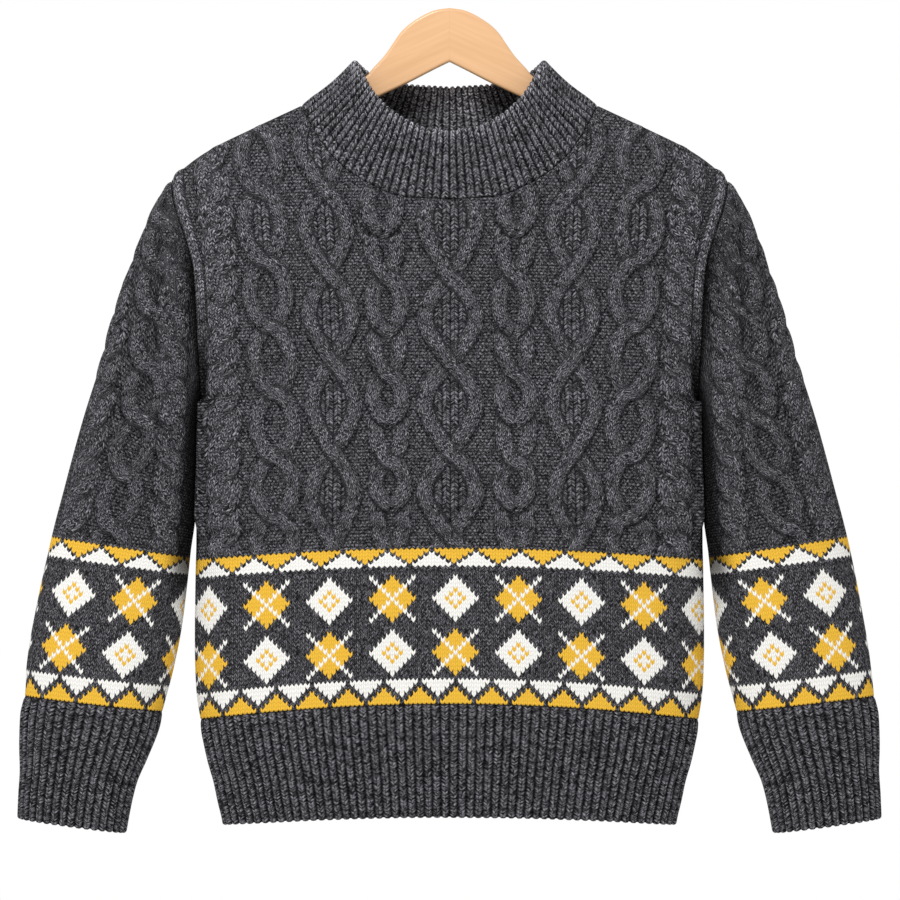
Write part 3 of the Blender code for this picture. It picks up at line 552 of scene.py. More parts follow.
def closing(z, low, high):
    """How far each side fills the slit; it ends between low and high under the arm."""
    return 0.5 * slit(z) * fade(z, -494, -452) * (1 - fade(z, low, high))


def side_ridge(z, gap):
    """The body's side is fuller in front of the slit, so that it isn't seen through."""
    return 7.0 * np.exp(-((gap - 11.0) / 5.5) ** 2) * fade(-z, 346, 360) * fade(z, -484, -458)


def valley_shade(z, gap):
    """Painted shade: darker where the cloth turns away into the narrow valley beside the sleeve."""
    return 1 - 0.80 * (1 - fade(gap, 6.0, 11.0)) * fade(z, -520, -478) * fade(-z, 285, 335)


def panel(name, side, material):
    facing = FACING[side]
    forward = np.array([0.0, facing, 0.0])
    points, gap, level, top = panel_points(side, PANEL_COLUMNS, LEVELS, RISES)
    x, z = points[:, :, 0], points[:, :, 2]
    relief = body_relief(x, z, level, top, gap)
    normal = turned_at_seams(sheet_normals(points, forward), points, gap, top, side, 6.0)
    calm = fade(gap, 2, 26) * fade(level, HEM_SEAM_Z, HEM_SEAM_Z + 22) * fade(top, 1, 20)
    armhole = fade(z, UNDERARM_Z - 4, UNDERARM_Z + 6)
    rolled = 1.0 * (1 - fade(gap, 0.0, 3.0)) * armhole + 0.6 * (1 - fade(top, 0.0, 2.5)) \
        + 1.0 * (1 - fade(level, HEM_SEAM_Z, HEM_SEAM_Z + 3))
    filling = closing(z, -362, -352) * (1 - fade(gap, 0.0, 12.0))
    rise = relief["rise"] + calm * soft_waves(x, z, 1.3 if side == "front" else 4.1) \
        - np.minimum(rolled, 1.2)
    rise = np.maximum(np.maximum(rise, filling), side_ridge(z, gap))
    relief["shade"] *= valley_shade(z, gap)
    outer = points + normal * rise[:, :, None]
    outer[:, :, 1] += facing * 0.2
    knit_x = x + np.sign(x) * 0.3 * np.maximum(np.abs(x) - 205.0, 0.0)
    knit = np.stack([knit_x - CHART_X, BAND_TOP - level], axis=2)
    strand = np.stack([relief["across"], relief["along"]], axis=2)
    outside = laid_grid(name + "_outside", outer, knit, strand, surface_of(relief))

    inner, gap, level, top = panel_points(side, 73, np.linspace(HEM_SEAM_Z, JOIN_Z, 40)[:-1],
                                          np.linspace(0, 1, 14))
    normal = turned_at_seams(sheet_normals(inner, forward), inner, gap, top, side, 1.0)
    knit = np.stack([inner[:, :, 0], BAND_TOP - level], axis=2)
    inner = inner - normal * WALL
    inner[:, :, 1] += facing * 0.2
    inside = laid_grid(name + "_inside", inner, knit, knit, surface_of(blank_relief(gap.shape)))
    return walled_piece(name, outside, inside, material)


# ---- pieces that are one closed profile, carried along or around ------------------------
def profile_piece(name, points, knit, strand, surface, material, around):
    """A grid whose last row meets its first; `around` says its last column does too."""
    closed = [np.concatenate([part, part[:1]]) for part in (points, knit, strand, surface)]
    mesh = laid_grid(name, *closed)
    bm = bmesh.new()
    bm.from_mesh(mesh)
    bpy.data.meshes.remove(mesh)
    seam = [v for v in bm.verts if v.is_boundary]
    bmesh.ops.remove_doubles(bm, verts=seam, dist=2e-6)
    if not around:
        ends = [e for e in bm.edges if e.is_boundary]
        made = bmesh.ops.holes_fill(bm, edges=ends, sides=0)
        fill_maps(bm, made["faces"])
    return finish_mesh(bm, name, material)


# ---- sleeves -------------------------------------------------------------------------
SLEEVE = (
    (252.0, -157.0, 225.0, -356.0, 34.0), (262.0, -176.0, 226.2, -360.0, 36.0),
    (271.0, -196.0, 226.8, -364.0, 38.0), (279.0, -218.0, 227.3, -368.0, 40.0),
    (287.0, -240.0, 227.8, -372.0, 41.0), (295.0, -262.0, 228.2, -377.0, 42.0),
    (303.5, -286.0, 228.6, -383.0, 42.0), (312.0, -312.0, 229.0, -391.0, 42.0),
    (321.5, -340.0, 229.4, -402.0, 41.0), (331.0, -370.0, 229.8, -419.0, 40.0),
    (340.0, -402.0, 230.3, -441.0, 39.0), (349.0, -436.0, 231.4, -466.0, 37.5),
    (358.5, -472.0, 234.0, -492.0, 36.0), (366.5, -508.0, 237.5, -524.5, 35.0),
    (373.5, -545.0, 242.2, -561.0, 34.5), (380.0, -583.0, 249.5, -598.0, 34.0),
    (384.5, -623.0, 259.8, -637.0, 33.0))
CUFF = (
    (384.5, -623.0, 259.8, -637.0, 33.0), (387.0, -645.0, 266.0, -657.0, 32.0),
    (387.6, -668.0, 275.5, -680.0, 30.5), (387.0, -690.0, 285.0, -702.0, 30.0),
    (388.3, -712.0, 290.5, -724.5, 30.0), (389.2, -733.5, 294.5, -746.5, 29.5))
SECTION_POWER = 2.5
HEAD = 2.5
RING_START = 0.45
SLEEVE_BAND = 12.2           # section at which the coloured band starts
SLEEVE_CHART = (13.4, 338.9)   # a white diamond's section and distance from the middle
# Painted shade that darkens the sleeves' cable knitting as a whole.
SLEEVE_SHADE = 0.86
SLEEVE_POINTS, SLEEVE_ROWS = 80, 206
# centre lines by their distance from the middle of the garment as seen from the front; on
# the wearer's right sleeve the lean is turned round
SLEEVE_COLUMNS = (
    cable(CORD, -1, (-500, 347.5), (-474, 341.6), (-342, 311.5), (-231, 287), (-150, 266),
          half=7.4, cross=tuple(np.arange(-530.0, -120.0, 31.0))),
    cable(RINGS, 1, (-495, 309.0), (-447, 297.5), (-397, 284.9), (-348, 273.2),
          (-300, 266.9), (-256, 263.0), (-171, 258.0), half=14.6, ribbed=None,
          cross=(-516, -470, -422.5, -373, -325.5, -277, -233, -193, -150, -110)),
    cable(CORD, 1, (-490, 258.0), (-445, 254.3), (-411, 251.6), (-362, 249.5),
          (-300, 248.5), (-240, 246.0), half=6.6, wide=8.2,
          cross=tuple(np.arange(-540.0, -120.0, 33.0))))


def tube_tables(sections):
    return [smooth_table(*[(i, s[k]) for i, s in enumerate(sections)]) for k in range(5)]


def tube_half(tables, t, side, loop=False, samples=160):
    """Half a section from the outer fold round the front or back to the inner fold."""
    facing = FACING[side]
    ox, oz, ix, iz, deep = [float(table(t)) for table in tables]
    angle = np.linspace(0, math.pi, samples)
    share = (np.cos(angle) + 1) / 2
    depth = deep * np.sqrt(np.clip(1 - np.abs(np.cos(angle)) ** SECTION_POWER, 0, 1))
    points = np.stack([ix + (ox - ix) * share, facing * depth, iz + (oz - iz) * share], axis=1)
    if loop and t < HEAD:
        z = UNDERARM_Z + (SHOULDER_TIP[1] - UNDERARM_Z) * share
        edge = np.stack([EDGE(z), facing * armhole_depth(z, side), z], axis=1)
        points = points + (edge - points) * head_blend(t)
    return points, distances(*points.T)


def head_blend(t):
    return (1 - t / HEAD) ** 2 * (1 + 2 * t / HEAD) if t < HEAD else 0.0


def tube_ring(tables, t, shares, loop=False):
    """A section's points round the front to the inner fold and back, and the distances."""
    out, walk = [], []
    for side, at in (("front", shares), ("back", shares[::-1][1:])):
        points, q = tube_half(tables, t, side, loop)
        out.append(evenly(points, at))
        walk.append((at if side == "front" else 2 - at) * q[-1])
    return np.concatenate(out), np.concatenate(walk)


def ring_normals(points, tables, stations):
    """Outward normals of a tube whose last column repeats its first."""
    grid = points[:, :-1]
    normal = sheet_normals(grid, grid - grid.mean(axis=1, keepdims=True), around=True)
    for row in (0, -1):
        ox, oz, ix, iz, _ = [float(table(stations[row])) for table in tables]
        axis = np.array([oz - iz, 0.0, ix - ox])
        axis /= np.linalg.norm(axis)
        normal[row] -= np.outer(normal[row] @ axis, axis)
    normal = unit(normal)
    return np.concatenate([normal, normal[:, :1]], axis=1)


def level_walk(grid, levels, centres):
    """Distances from the outer fold along level lines, of the points and of centre lines.

    grid holds one side of a sleeve from its outer to its inner fold; the centre lines are
    given by their distance from the middle of the garment at each of the rising levels.
    """
    lines = np.moveaxis(grid, 1, 0)
    x, y = [np.array([np.interp(levels, line[::-1, 2], line[::-1, k]) for line in lines])
            for k in (0, 1)]
    steps = np.hypot(np.diff(x, axis=0), np.diff(y, axis=0))
    walk = np.concatenate([np.zeros((1, len(levels))), np.cumsum(steps, axis=0)])
    of_points = np.array([np.interp(line[:, 2], levels, far) for line, far in zip(lines, walk)])
    of_lines = [np.array([np.interp(-place, -x[:, n], walk[:, n])
                          for n, place in enumerate(centre(levels))]) for centre in centres]
    return of_points.T, of_lines


def sleeve_relief(grid, sign, to_inner, down, below):
    """Rise, maps and painted shade of the cables on a sleeve.

    to_inner is the distance of each point from the inner fold, down that of each row from
    the armhole and below that of each row from the top of the coloured band.
    """
    half = grid.shape[1] // 2
    z = grid[:, :, 2]
    out = blank_relief(z.shape)
    levels = np.linspace(-600, -140, 300)
    for part in (slice(0, half + 1), slice(2 * half, half - 1, -1)):
        side = {k: np.ascontiguousarray(v[:, part]) for k, v in out.items()}
        along, centres = level_walk(grid[:, part], levels, [c["line"] for c in SLEEVE_COLUMNS])
        for column, centre in zip(SLEEVE_COLUMNS, centres):
            strand_relief({**column, "lean": column["lean"] * sign}, centre, levels, along,
                          np.ascontiguousarray(z[:, part]), side)
        for k, v in side.items():
            out[k][:, part] = v
    keep = fade(-below, -1, 5) * fade(down, 4, 16)
    out["rise"] *= keep[:, None] * fade(to_inner, 3, 10)
    for label in ("strand", "rib"):
        out[label] *= fade(keep, 0.0, 0.4)[:, None]
    out["plain"] = np.repeat(fade(below, -3, 1)[:, None], z.shape[1], axis=1)
    # Painted shade: the sleeve's cables are darker as a whole, darker still near the inner fold in
    # the valley beside the body, and just below the armhole seam; the plain band is left as it is.
    out["shade"] = SLEEVE_SHADE * out["shade"] * (1 - out["plain"]) + out["plain"]
    valley = fade(z, -560, -500) * (1 - fade(z, -230, -190))
    lit = fade(to_inner, 20, 42) * fade(down, 6, 24)[:, None]
    out["shade"] *= 1 - 0.84 * (1 - lit) * valley
    out["shade"] *= 1 - 0.4 * (1 - fade(down, 0, 7))[:, None]
    return out


def sleeve_normals(grid, tables, stations):
    """Outward normals, turned at the armhole to the directions that the body shares."""
    normal = ring_normals(grid, tables, stations)
    half = grid.shape[1] // 2
    loop = armhole_normals(grid[0, :, 2], "front")
    loop[half + 1:] = armhole_normals(grid[0, :, 2], "back")[half + 1:]
    loop[half] = (-0.7, 0.0, -0.714)
    for row, t in enumerate(stations[stations < HEAD]):
        blend = head_blend(t)
        normal[row] = unit(normal[row] * (1 - blend) + loop * blend)
    return normal


def sleeve(name, sign, material):
    tables = tube_tables(SLEEVE)
    fine = np.linspace(0, len(SLEEVE) - 1, 801)
    ox, oz, ix, iz, _ = [table(fine) for table in tables]
    run = distances((ox + ix) / 2, (oz + iz) / 2)
    shares = np.linspace(0, 1, SLEEVE_POINTS + 1)
    stations = np.interp(np.linspace(0, run[-1], SLEEVE_ROWS), run, fine)
    grid, walk = [np.array(part) for part in
                  zip(*[tube_ring(tables, t, shares, True) for t in stations])]
    to_inner = np.abs(walk - walk[:, SLEEVE_POINTS, None])
    down = np.interp(stations, fine, run)
    band = np.interp(SLEEVE_BAND, fine, run)
    below = (down - band) * BAND_HEIGHT / (run[-1] - band)
    out = sleeve_relief(grid, sign, to_inner, down, below)
    normal = sleeve_normals(grid, tables, stations)
    facing = np.where(np.arange(walk.shape[1]) <= SLEEVE_POINTS, -1, 1)
    waves = soft_waves(grid[:, :, 0] + 3 * facing, grid[:, :, 2], 2.7 + sign)
    calm = fade(down, 10, 60) * fade(run[-1] - down, 2, 25)
    rolled = 1.3 * (1 - fade(down, 0, 4)) + 1.2 * (1 - fade(run[-1] - down, 0, 4))
    rise = out["rise"] + (calm[:, None] * waves) * fade(to_inner, 4, 20) - rolled[:, None]
    filling = closing(grid[:, :, 2], -372, -360) * (1 - fade(to_inner, 0, 14))
    outer = grid + normal * np.maximum(rise, filling)[:, :, None]

    points, q = tube_half(tables, SLEEVE_CHART[0], "front")
    centre = np.interp(-SLEEVE_CHART[1], -points[:, 0], q)
    knit = np.stack([walk - centre, np.repeat(below[:, None], walk.shape[1], axis=1)], axis=2)
    strand = np.stack([out["across"], out["along"]], axis=2)
    picks = np.rint(np.linspace(0, SLEEVE_ROWS - 1, 30)).astype(int)[::-1]
    inner = grid[picks] - normal[picks] * WALL
    dull = surface_of(blank_relief((len(picks), walk.shape[1])))
    points = np.concatenate([outer, inner])
    points[:, -1] = points[:, 0]
    points[:, :, 0] = sign * (points[:, :, 0] + RING_START)
    return profile_piece(name, points, np.concatenate([knit, knit[picks]]),
                         np.concatenate([strand, strand[picks]]),
                         np.concatenate([surface_of(out), dull]), material, True)


# ---- ribbed pieces -------------------------------------------------------------------
RIB_RISE = 2.3
# Painted shade that darkens the ribbed yarn of the hem, the cuffs and the neckband by different
# amounts.
HEM_PAINTED_SHADE, CUFF_PAINTED_SHADE, NECK_PAINTED_SHADE = 0.69, 0.67, 0.80


def rib_profile(phase):
    """Rise of a rib: rounded over two thirds of its spacing, with a narrow groove."""
    f = phase - np.floor(phase) - 0.5
    return np.clip(1 - np.abs(f / 0.39) ** 2.6, 0, 1) ** 0.6


def rib_piece(name, grid, normal, phase, run, wall, material, around, edge_out, tone,
              inside_ribs=0.0, lip=0.0):
    """A ribbed band laid on a grid of its base form, with the first row at its seam.

    The free edge, at the last row, is rounded over.  `run` is the distance of each row
    from the seam; the band's yarn is darkened by painted shade, given for the whole band, and
    `lip` gives the painted highlight that the free edge adds to it.
    """
    rib = rib_profile(phase)
    seam = (1 - fade(run, 0.0, 2.5))[:, None]
    rise = RIB_RISE * rib * fade(run, -6.0, 16.0)[:, None] - 0.9 * seam
    front = grid + normal * rise[:, :, None]
    back_rise = -inside_ribs * rib * fade(run, 2, 8)[:, None]
    back = grid + normal * (back_rise - wall)[:, :, None]
    middle = (front[-1] + back[-1]) / 2
    half = (front[-1] - back[-1]) / 2
    size = np.linalg.norm(half, axis=1, keepdims=True)
    fold = []
    angles = np.linspace(0, math.pi, 9)[1:-1]
    for angle in angles:
        fold.append(middle + half * math.cos(angle) + edge_out * size * math.sin(angle))
    points = np.concatenate([front, np.array(fold), back[::-1]])
    count = len(angles)
    length = np.concatenate([run, run[-1] + 1.0 * np.arange(1, count + 1),
                             run[-1] + count + (run[-1] - run[::-1])])
    knit = np.stack([np.repeat(phase[None, :], len(points), axis=0),
                     np.repeat(length[:, None], points.shape[1], axis=1)], axis=2)
    surface = np.zeros((len(points), points.shape[1], 4))
    # Painted highlight on the free edge's lip, strongest at the fold, where the lip argument asks
    # for it.
    near_lip = np.exp((run - run[-1]) / 5.0)
    near_lip = np.concatenate([near_lip, np.ones(count), 0.3 * near_lip[::-1]])
    surface[:, :, 1] = tone * (1 + lip * near_lip)[:, None]
    surface[:, :, 2] = rib
    # Painted light: the inside of each band is lightened; inside the neckband it is lightest near
    # the rim, and painted shade darkens it deeper down and towards the sides.
    inside_painted_light = surface[len(run) + count:, :, 0]
    inside_painted_light[:] = 1.0
    if lip:
        inside_painted_light[:] = np.interp((run[-1] - run[::-1]) / run[-1], (0, 0.5, 0.75, 0.85, 1),
                              (2.1, 1.5, 0.5, 0.0, -0.2))[:, None]
        inside_painted_light[:] -= 1.1 * (1 + 0.5 * inside_painted_light) * fade(np.abs(back[::-1, :, 0]), 16, 46)
    return profile_piece(name, points, knit, knit, surface, material, around)


HEM_RIBS = 58
HEM_POINTS = 9          # columns to a rib


def hem_band(name, side, material):
    facing = FACING[side]
    drop = 1.6
    levels = np.linspace(HEM_SEAM_Z, HEM_EDGE_Z + drop, 26)
    shares = np.linspace(-1, 1, HEM_RIBS * HEM_POINTS + 1)
    grid = np.array([spread(body_row(float(v), 0.0, side), shares, side)[0] for v in levels])
    normal = sheet_normals(grid, np.array([0.0, facing, 0.0]))
    normal[:, :, 2] = 0.0
    normal = unit(normal)
    edge = (1 - fade(1 - np.abs(shares), 0.0, 0.012))[None, :, None]
    outward = np.stack([np.sign(shares), 0 * shares, 0 * shares], axis=-1)[None]
    normal = unit(normal * (1 - edge) + outward * edge)
    grid[:, :, 1] += facing * 0.2
    push = 1.4 * np.sin(grid[:, :, 0] / 27 + 0.6) + 0.9 * np.sin(grid[:, :, 0] / 14.3)
    calm = fade(1 - np.abs(shares), 0.0, 0.12)[None, :]
    grid[:, :, 1] += facing * push * (1 - fade(levels, HEM_EDGE_Z, HEM_SEAM_Z - 20))[:, None] \
        * calm * 0.8
    grid[0, :, 2] -= 0.36
    phase = (shares + 1) / 2 * HEM_RIBS
    run = HEM_SEAM_Z - levels
    return rib_piece(name, grid, normal, phase, run, WALL, material, False,
                     np.array([0.0, 0.0, -1.0]), HEM_PAINTED_SHADE)


CUFF_RIBS = 34
CUFF_POINTS = 9


def cuff(name, sign, material):
    tables = tube_tables(CUFF)
    count = CUFF_RIBS * CUFF_POINTS
    half = count // 2
    shares = np.linspace(0, 1, half + 1)
    stations = np.linspace(0, 4.93, 30)
    grid, walk = zip(*[tube_ring(tables, t, shares) for t in stations])
    grid, walk = np.array(grid), np.array(walk)
    normal = ring_normals(grid, tables, stations)
    grid[0, :, 2] -= 0.36
    middle = grid.mean(axis=1)
    run = distances(*middle.T)
    away = unit(middle[-1] - middle[-3])
    grid[:, :, 0] = sign * (grid[:, :, 0] + RING_START)
    normal[:, :, 0] *= sign
    away[0] *= sign
    phase = walk[0] / walk[0, -1] * CUFF_RIBS
    return rib_piece(name, grid, normal, phase, run, WALL, material, True, away, CUFF_PAINTED_SHADE)


# ---- neckband ------------------------------------------------------------------------
RIM_HALF_WIDTH = 85.0
RIM = {
    "front": smooth_table((0, -114.5), (22, -111.0), (44.6, -100.2), (65.7, -81.5),
                          (77.9, -62.5), (85, -48.5)),
    "back": smooth_table((0, -70.2), (50, -66.5), (75, -56.5), (85, -48.5)),
}
RIM_DEPTH = {"front": 46.0, "back": 42.0}
NECK_WALL = 3.6
NECK_RIBS = {"front": 48, "back": 40}
NECK_POINTS = 9


def evenly(points, shares):
    q = distances(*points.T)
    return np.stack([np.interp(shares * q[-1], q, points[:, k]) for k in range(3)], axis=1)


def neckband(name, material):
    seam, rim, around, phase = [], [], [], []
    start = 0
    for side in ("front", "back"):
        facing = FACING[side]
        shares = np.linspace(0, 1, NECK_RIBS[side] * NECK_POINTS + 1)
        x, y, z, _ = body_row(JOIN_Z, 1.0, side, 700)
        keep = x <= NECK_POINT_X + 1e-6
        line = np.stack([x[keep], facing * y[keep], z[keep]], axis=1)
        line = np.concatenate([line[:0:-1] * (-1, 1, 1), line])
        points = evenly(line, shares)
        angle = np.linspace(-math.pi / 2, math.pi / 2, 401)
        rim_x = RIM_HALF_WIDTH * np.sin(angle)
        deep = RIM_DEPTH[side] * np.sqrt(
            np.clip(1 - (np.abs(rim_x) / RIM_HALF_WIDTH) ** 2.3, 0, 1))
        upper = evenly(np.stack([rim_x, facing * deep, RIM[side](np.abs(rim_x))], axis=1), shares)
        if side == "back":
            points, upper = points[::-1], upper[::-1]
        seam.append(points[:-1])
        rim.append(upper[:-1])
        around.append(neck_normals(points[:-1, 0], side))
        phase.append(start + shares[:-1] * NECK_RIBS[side])
        start += NECK_RIBS[side]
    seam, rim = np.concatenate(seam), np.concatenate(rim)
    up = unit(rim - seam)
    rim = rim - up * 1.9
    steps = np.linspace(0, 1, 30)
    grid = np.array([seam + up * 0.5 + (rim - seam - up * 0.5) * s for s in steps])
    normal = sheet_normals(grid, grid - grid.mean(axis=1, keepdims=True), around=True)
    normal[0] = np.concatenate(around)
    bulge = np.outer(np.sin(math.pi * steps),
                     1.6 - 4.2 * fade(np.abs(seam[:, 0]), 60, NECK_POINT_X))
    grid = grid + normal * bulge[:, :, None]
    grid = np.concatenate([grid, grid[:, :1]], axis=1)
    normal = np.concatenate([normal, normal[:, :1]], axis=1)
    for row in range(1, 4):
        blend = 1 - row / 4
        normal[row] = unit(normal[row] * (1 - blend) + normal[0] * blend)
    run = np.linalg.norm(rim - seam, axis=1).mean() * steps
    up = np.concatenate([up, up[:1]])
    phase = np.concatenate([*phase, [start]])
    wall = (WALL + (NECK_WALL - WALL) * steps)[:, None]
    return rib_piece(name, grid, normal, phase, run, wall, material, True, up, NECK_PAINTED_SHADE,
                     inside_ribs=1.0, lip=1.0)


# ---- hanger --------------------------------------------------------------------------
HANGER_TOP = ((0, 0), (12, -1.6), (22.9, -6.0), (35.6, -14.0), (44.6, -22.5), (51.8, -33),
              (59.4, -43.7), (68.9, -54), (77.9, -63.5), (104, -79.0), (134.6, -94.7),
              (150, -101.1), (180, -115.15), (206, -127.8), (214, -132.6), (220, -140.0))
HANGER_LOW = ((221.5, -147.0), (217, -153.0), (205, -149.0), (180, -135.5), (134.6, -114.5),
              (65.7, -81), (39.2, -68.4), (14, -55.5), (0, -48.6))
HANGER_THICK = 12.0


def rounded(points, steps):
    """A curve through points, with `steps` places to a span."""
    points = np.array(points, float)
    count = len(points)
    before = np.vstack([2 * points[0] - points[1], points[:-1]])
    after = np.vstack([points[1:], 2 * points[-1] - points[-2]])
    slope = (after - before) / 2
    out = []
    for i in range(count - 1):
        for t in np.arange(steps) / steps:
            h = (2 * t ** 3 - 3 * t ** 2 + 1, t ** 3 - 2 * t ** 2 + t,
                 -2 * t ** 3 + 3 * t ** 2, t ** 3 - t ** 2)
            out.append(h[0] * points[i] + h[1] * slope[i] + h[2] * points[i + 1]
                       + h[3] * slope[i + 1])
    return [*out, points[-1]]


def hanger(name, material):
    """The board: its outline filled, made thick and rounded along its edges."""
    half = rounded([*HANGER_TOP, *HANGER_LOW], 3)
    outline = half + [(-x, z) for x, z in half[::-1] if x > 0.01]
    bm = bmesh.new()
    verts = [bm.verts.new((x * MM, -HANGER_THICK / 2 * MM, z * MM)) for x, z in outline]
    face = bm.faces.new(verts)
    grown = bmesh.ops.extrude_face_region(bm, geom=[face])["geom"]
    moved = [v for v in grown if isinstance(v, bmesh.types.BMVert)]
    bmesh.ops.translate(bm, verts=moved, vec=(0, HANGER_THICK * MM, 0))
    bmesh.ops.recalc_face_normals(bm, faces=bm.faces[:])
    rims = [e for e in bm.edges if abs(e.verts[0].co.y - e.verts[1].co.y) < 1e-6]
    bmesh.ops.bevel(bm, geom=rims, offset=2.4 * MM, offset_type="OFFSET", segments=4,
                    profile=0.5, affect="EDGES", material=-1, clamp_overlap=True)
    bmesh.ops.triangulate(bm, faces=[f for f in bm.faces if len(f.verts) > 4])
    piece = finish_mesh(bm, name, material)
    for polygon in piece.data.polygons:
        if abs(polygon.normal.y) > 0.999:
            polygon.use_smooth = False
    return piece


# ---- shader helpers ------------------------------------------------------------------
def feed(tree, socket, value):
    """Link a value to a socket, or set the socket to a number or a colour."""
    if isinstance(value, Value):
        tree.links.new(value.socket, socket)
    else:
        socket.default_value = (*value, 1.0) if isinstance(value, tuple) else value


def operation(name, turned=False):
    """A method that adds a Math node; turned gives it its values in reverse."""
    def add_node(self, *others):
        node = self.tree.nodes.new("ShaderNodeMath")
        node.operation = name
        values = (self, *others)
        for socket, value in zip(node.inputs, values[::-1] if turned else values):
            feed(self.tree, socket, value)
        return Value(self.tree, node.outputs[0])
    return add_node


class Value:
    """A value that changes over a surface; a sum or comparison with it adds its node."""
    __add__ = __radd__ = operation("ADD")
    __mul__ = __rmul__ = operation("MULTIPLY")
    __sub__, __rsub__ = operation("SUBTRACT"), operation("SUBTRACT", turned=True)
    __truediv__, __mod__ = operation("DIVIDE"), operation("FLOORED_MODULO")
    __pow__, __abs__ = operation("POWER"), operation("ABSOLUTE")
    __lt__, __gt__ = operation("LESS_THAN"), operation("GREATER_THAN")
    sine, floor = operation("SINE"), operation("FLOOR")
    larger, same = operation("MAXIMUM"), operation("COMPARE")

    def __init__(self, tree, socket):
        self.tree, self.socket = tree, socket


def pick(mask, low, high):
    """high where the mask is 1, low where it is 0."""
    return mask * (high - low) + low


def blend_colour(tree, share, first, second, how="MIX"):
    node = tree.nodes.new("ShaderNodeMix")
    node.data_type = "RGBA"
    node.blend_type = how
    for number, value in ((0, share), (6, first), (7, second)):
        feed(tree, node.inputs[number], value)
    return Value(tree, node.outputs[2])


def new_group(name, **inputs):
    """A node group with inputs of these names and defaults, and its inputs' values."""
    tree = bpy.data.node_groups.new(name, "ShaderNodeTree")
    for label, default in inputs.items():
        kind = "NodeSocketColor" if isinstance(default, tuple) else "NodeSocketFloat"
        feed(tree, tree.interface.new_socket(name=label, in_out="INPUT", socket_type=kind), default)
    start = tree.nodes.new("NodeGroupInput")
    return tree, {label: Value(tree, start.outputs[label]) for label in inputs}


def put_out(tree, **values):
    """Give a node group its outputs."""
    for label in values:
        kind = "NodeSocketColor" if label == "Colour" else "NodeSocketFloat"
        tree.interface.new_socket(name=label, in_out="OUTPUT", socket_type=kind)
    end = tree.nodes.new("NodeGroupOutput")
    for label, value in values.items():
        feed(tree, end.inputs[label], value)


def use_group(tree, name, **links):
    node = tree.nodes.new("ShaderNodeGroup")
    node.node_tree = bpy.data.node_groups[name]
    for label, value in links.items():
        feed(tree, node.inputs[label], value)
    return {socket.name: Value(tree, socket) for socket in node.outputs}


# ---- stitches, chart and yarn ----------------------------------------------------------
def stitch_group():
    """Knit stitches: a V of two legs to a stitch, its tip down; places and height."""
    tree, given = new_group("knit_stitches", Across=0.0, Down=0.0, Width=STITCH_WIDE,
                            Height=STITCH_HIGH, Lean=0.68)
    across = given["Across"] / given["Width"]
    stitch = (across + 0.5).floor()
    leg = abs(across - stitch) * 2.0
    slant = given["Down"] / given["Height"] + (leg - 0.5) * given["Lean"]
    row = slant.floor()
    dome = ((slant - row) * math.pi).sine()
    side = (leg * math.pi).sine().larger(0.001)
    put_out(tree, Stitch=stitch, Row=row, Leg=leg, Slant=slant,
            Rise=dome ** 0.55 * side ** 0.45)


def purl_group():
    """The back of plain knitting: short bumps, staggered from row to row."""
    tree, given = new_group("purl_bumps", Across=0.0, Down=0.0, Width=STITCH_WIDE, Height=2.9)
    down = given["Down"] / given["Height"]
    row = down.floor()
    across = given["Across"] / given["Width"] + row % 2.0 * 0.5
    put_out(tree, Rise=((down - row) * math.pi).sine() ** 0.7
            * ((across - across.floor()) * math.pi).sine() ** 0.5)


def chart_group():
    """The coloured band: a triangle row, two rows of diamonds and a triangle row.

    Across is measured from the middle of a white diamond and Down from the band's top;
    both are in millimetres.  White and Yellow are masks; Width, Height, Place and Depth
    give the stitches of each part of the band and the place on them.
    """
    tree, given = new_group("coloured_chart", Across=0.0, Down=0.0)
    top, bottom = given["Down"] < 19.9, given["Down"] > 115.6
    second = (given["Down"] > 69.0) * (1.0 - bottom)
    width = top * 1.21 + STITCH_WIDE + bottom * 0.27
    height = top * -0.59 + STITCH_HIGH
    across = given["Across"] + (top * 1.35 - bottom * 0.45)
    down = given["Down"] - (24.0 - top * 24.0 + second * 48.6 + bottom * 93.5)
    places = use_group(tree, "knit_stitches", Across=across, Down=down, Width=width,
                       Height=height)
    stitch, row = places["Stitch"], places["Row"]

    def from_middle(place, half):
        """Stitches to the middle of a motif, and on to the middle of the next."""
        near = abs((place + half) % (2 * half) - half)
        return near, half - near

    # diamonds, white ones at the near middle and yellow ones at the far
    near, far = from_middle(stitch + second * 15.0, 15.0)
    level = abs(row - 5.0)
    inside = (level < 5.5) * (1.0 - top) * (1.0 - bottom)
    ring_of_yellow = (near + level).same(2.0, 0.4)
    lattice = far.same(level, 0.4) * inside
    patch, far_patch = (near + level < 5.5) * inside, (far + level < 5.5) * inside
    white = (patch * (1.0 - ring_of_yellow)).larger(lattice)
    yellow = (patch * ring_of_yellow).larger(far_patch * (1.0 - lattice))

    # triangles
    near, far = from_middle(stitch, 4.0)
    first = row > -0.5
    yellow = yellow.larger((near + row < 3.5) * first * top)
    white = white.larger((far - row < -0.5) * (row < 4.5) * top)
    yellow = yellow.larger((near - row < -1.5) * (row < 5.5) * bottom)
    white = white.larger((far + row < 3.5) * first * bottom)
    put_out(tree, White=white, Yellow=yellow, Width=width, Height=height, Place=across,
            Depth=down)


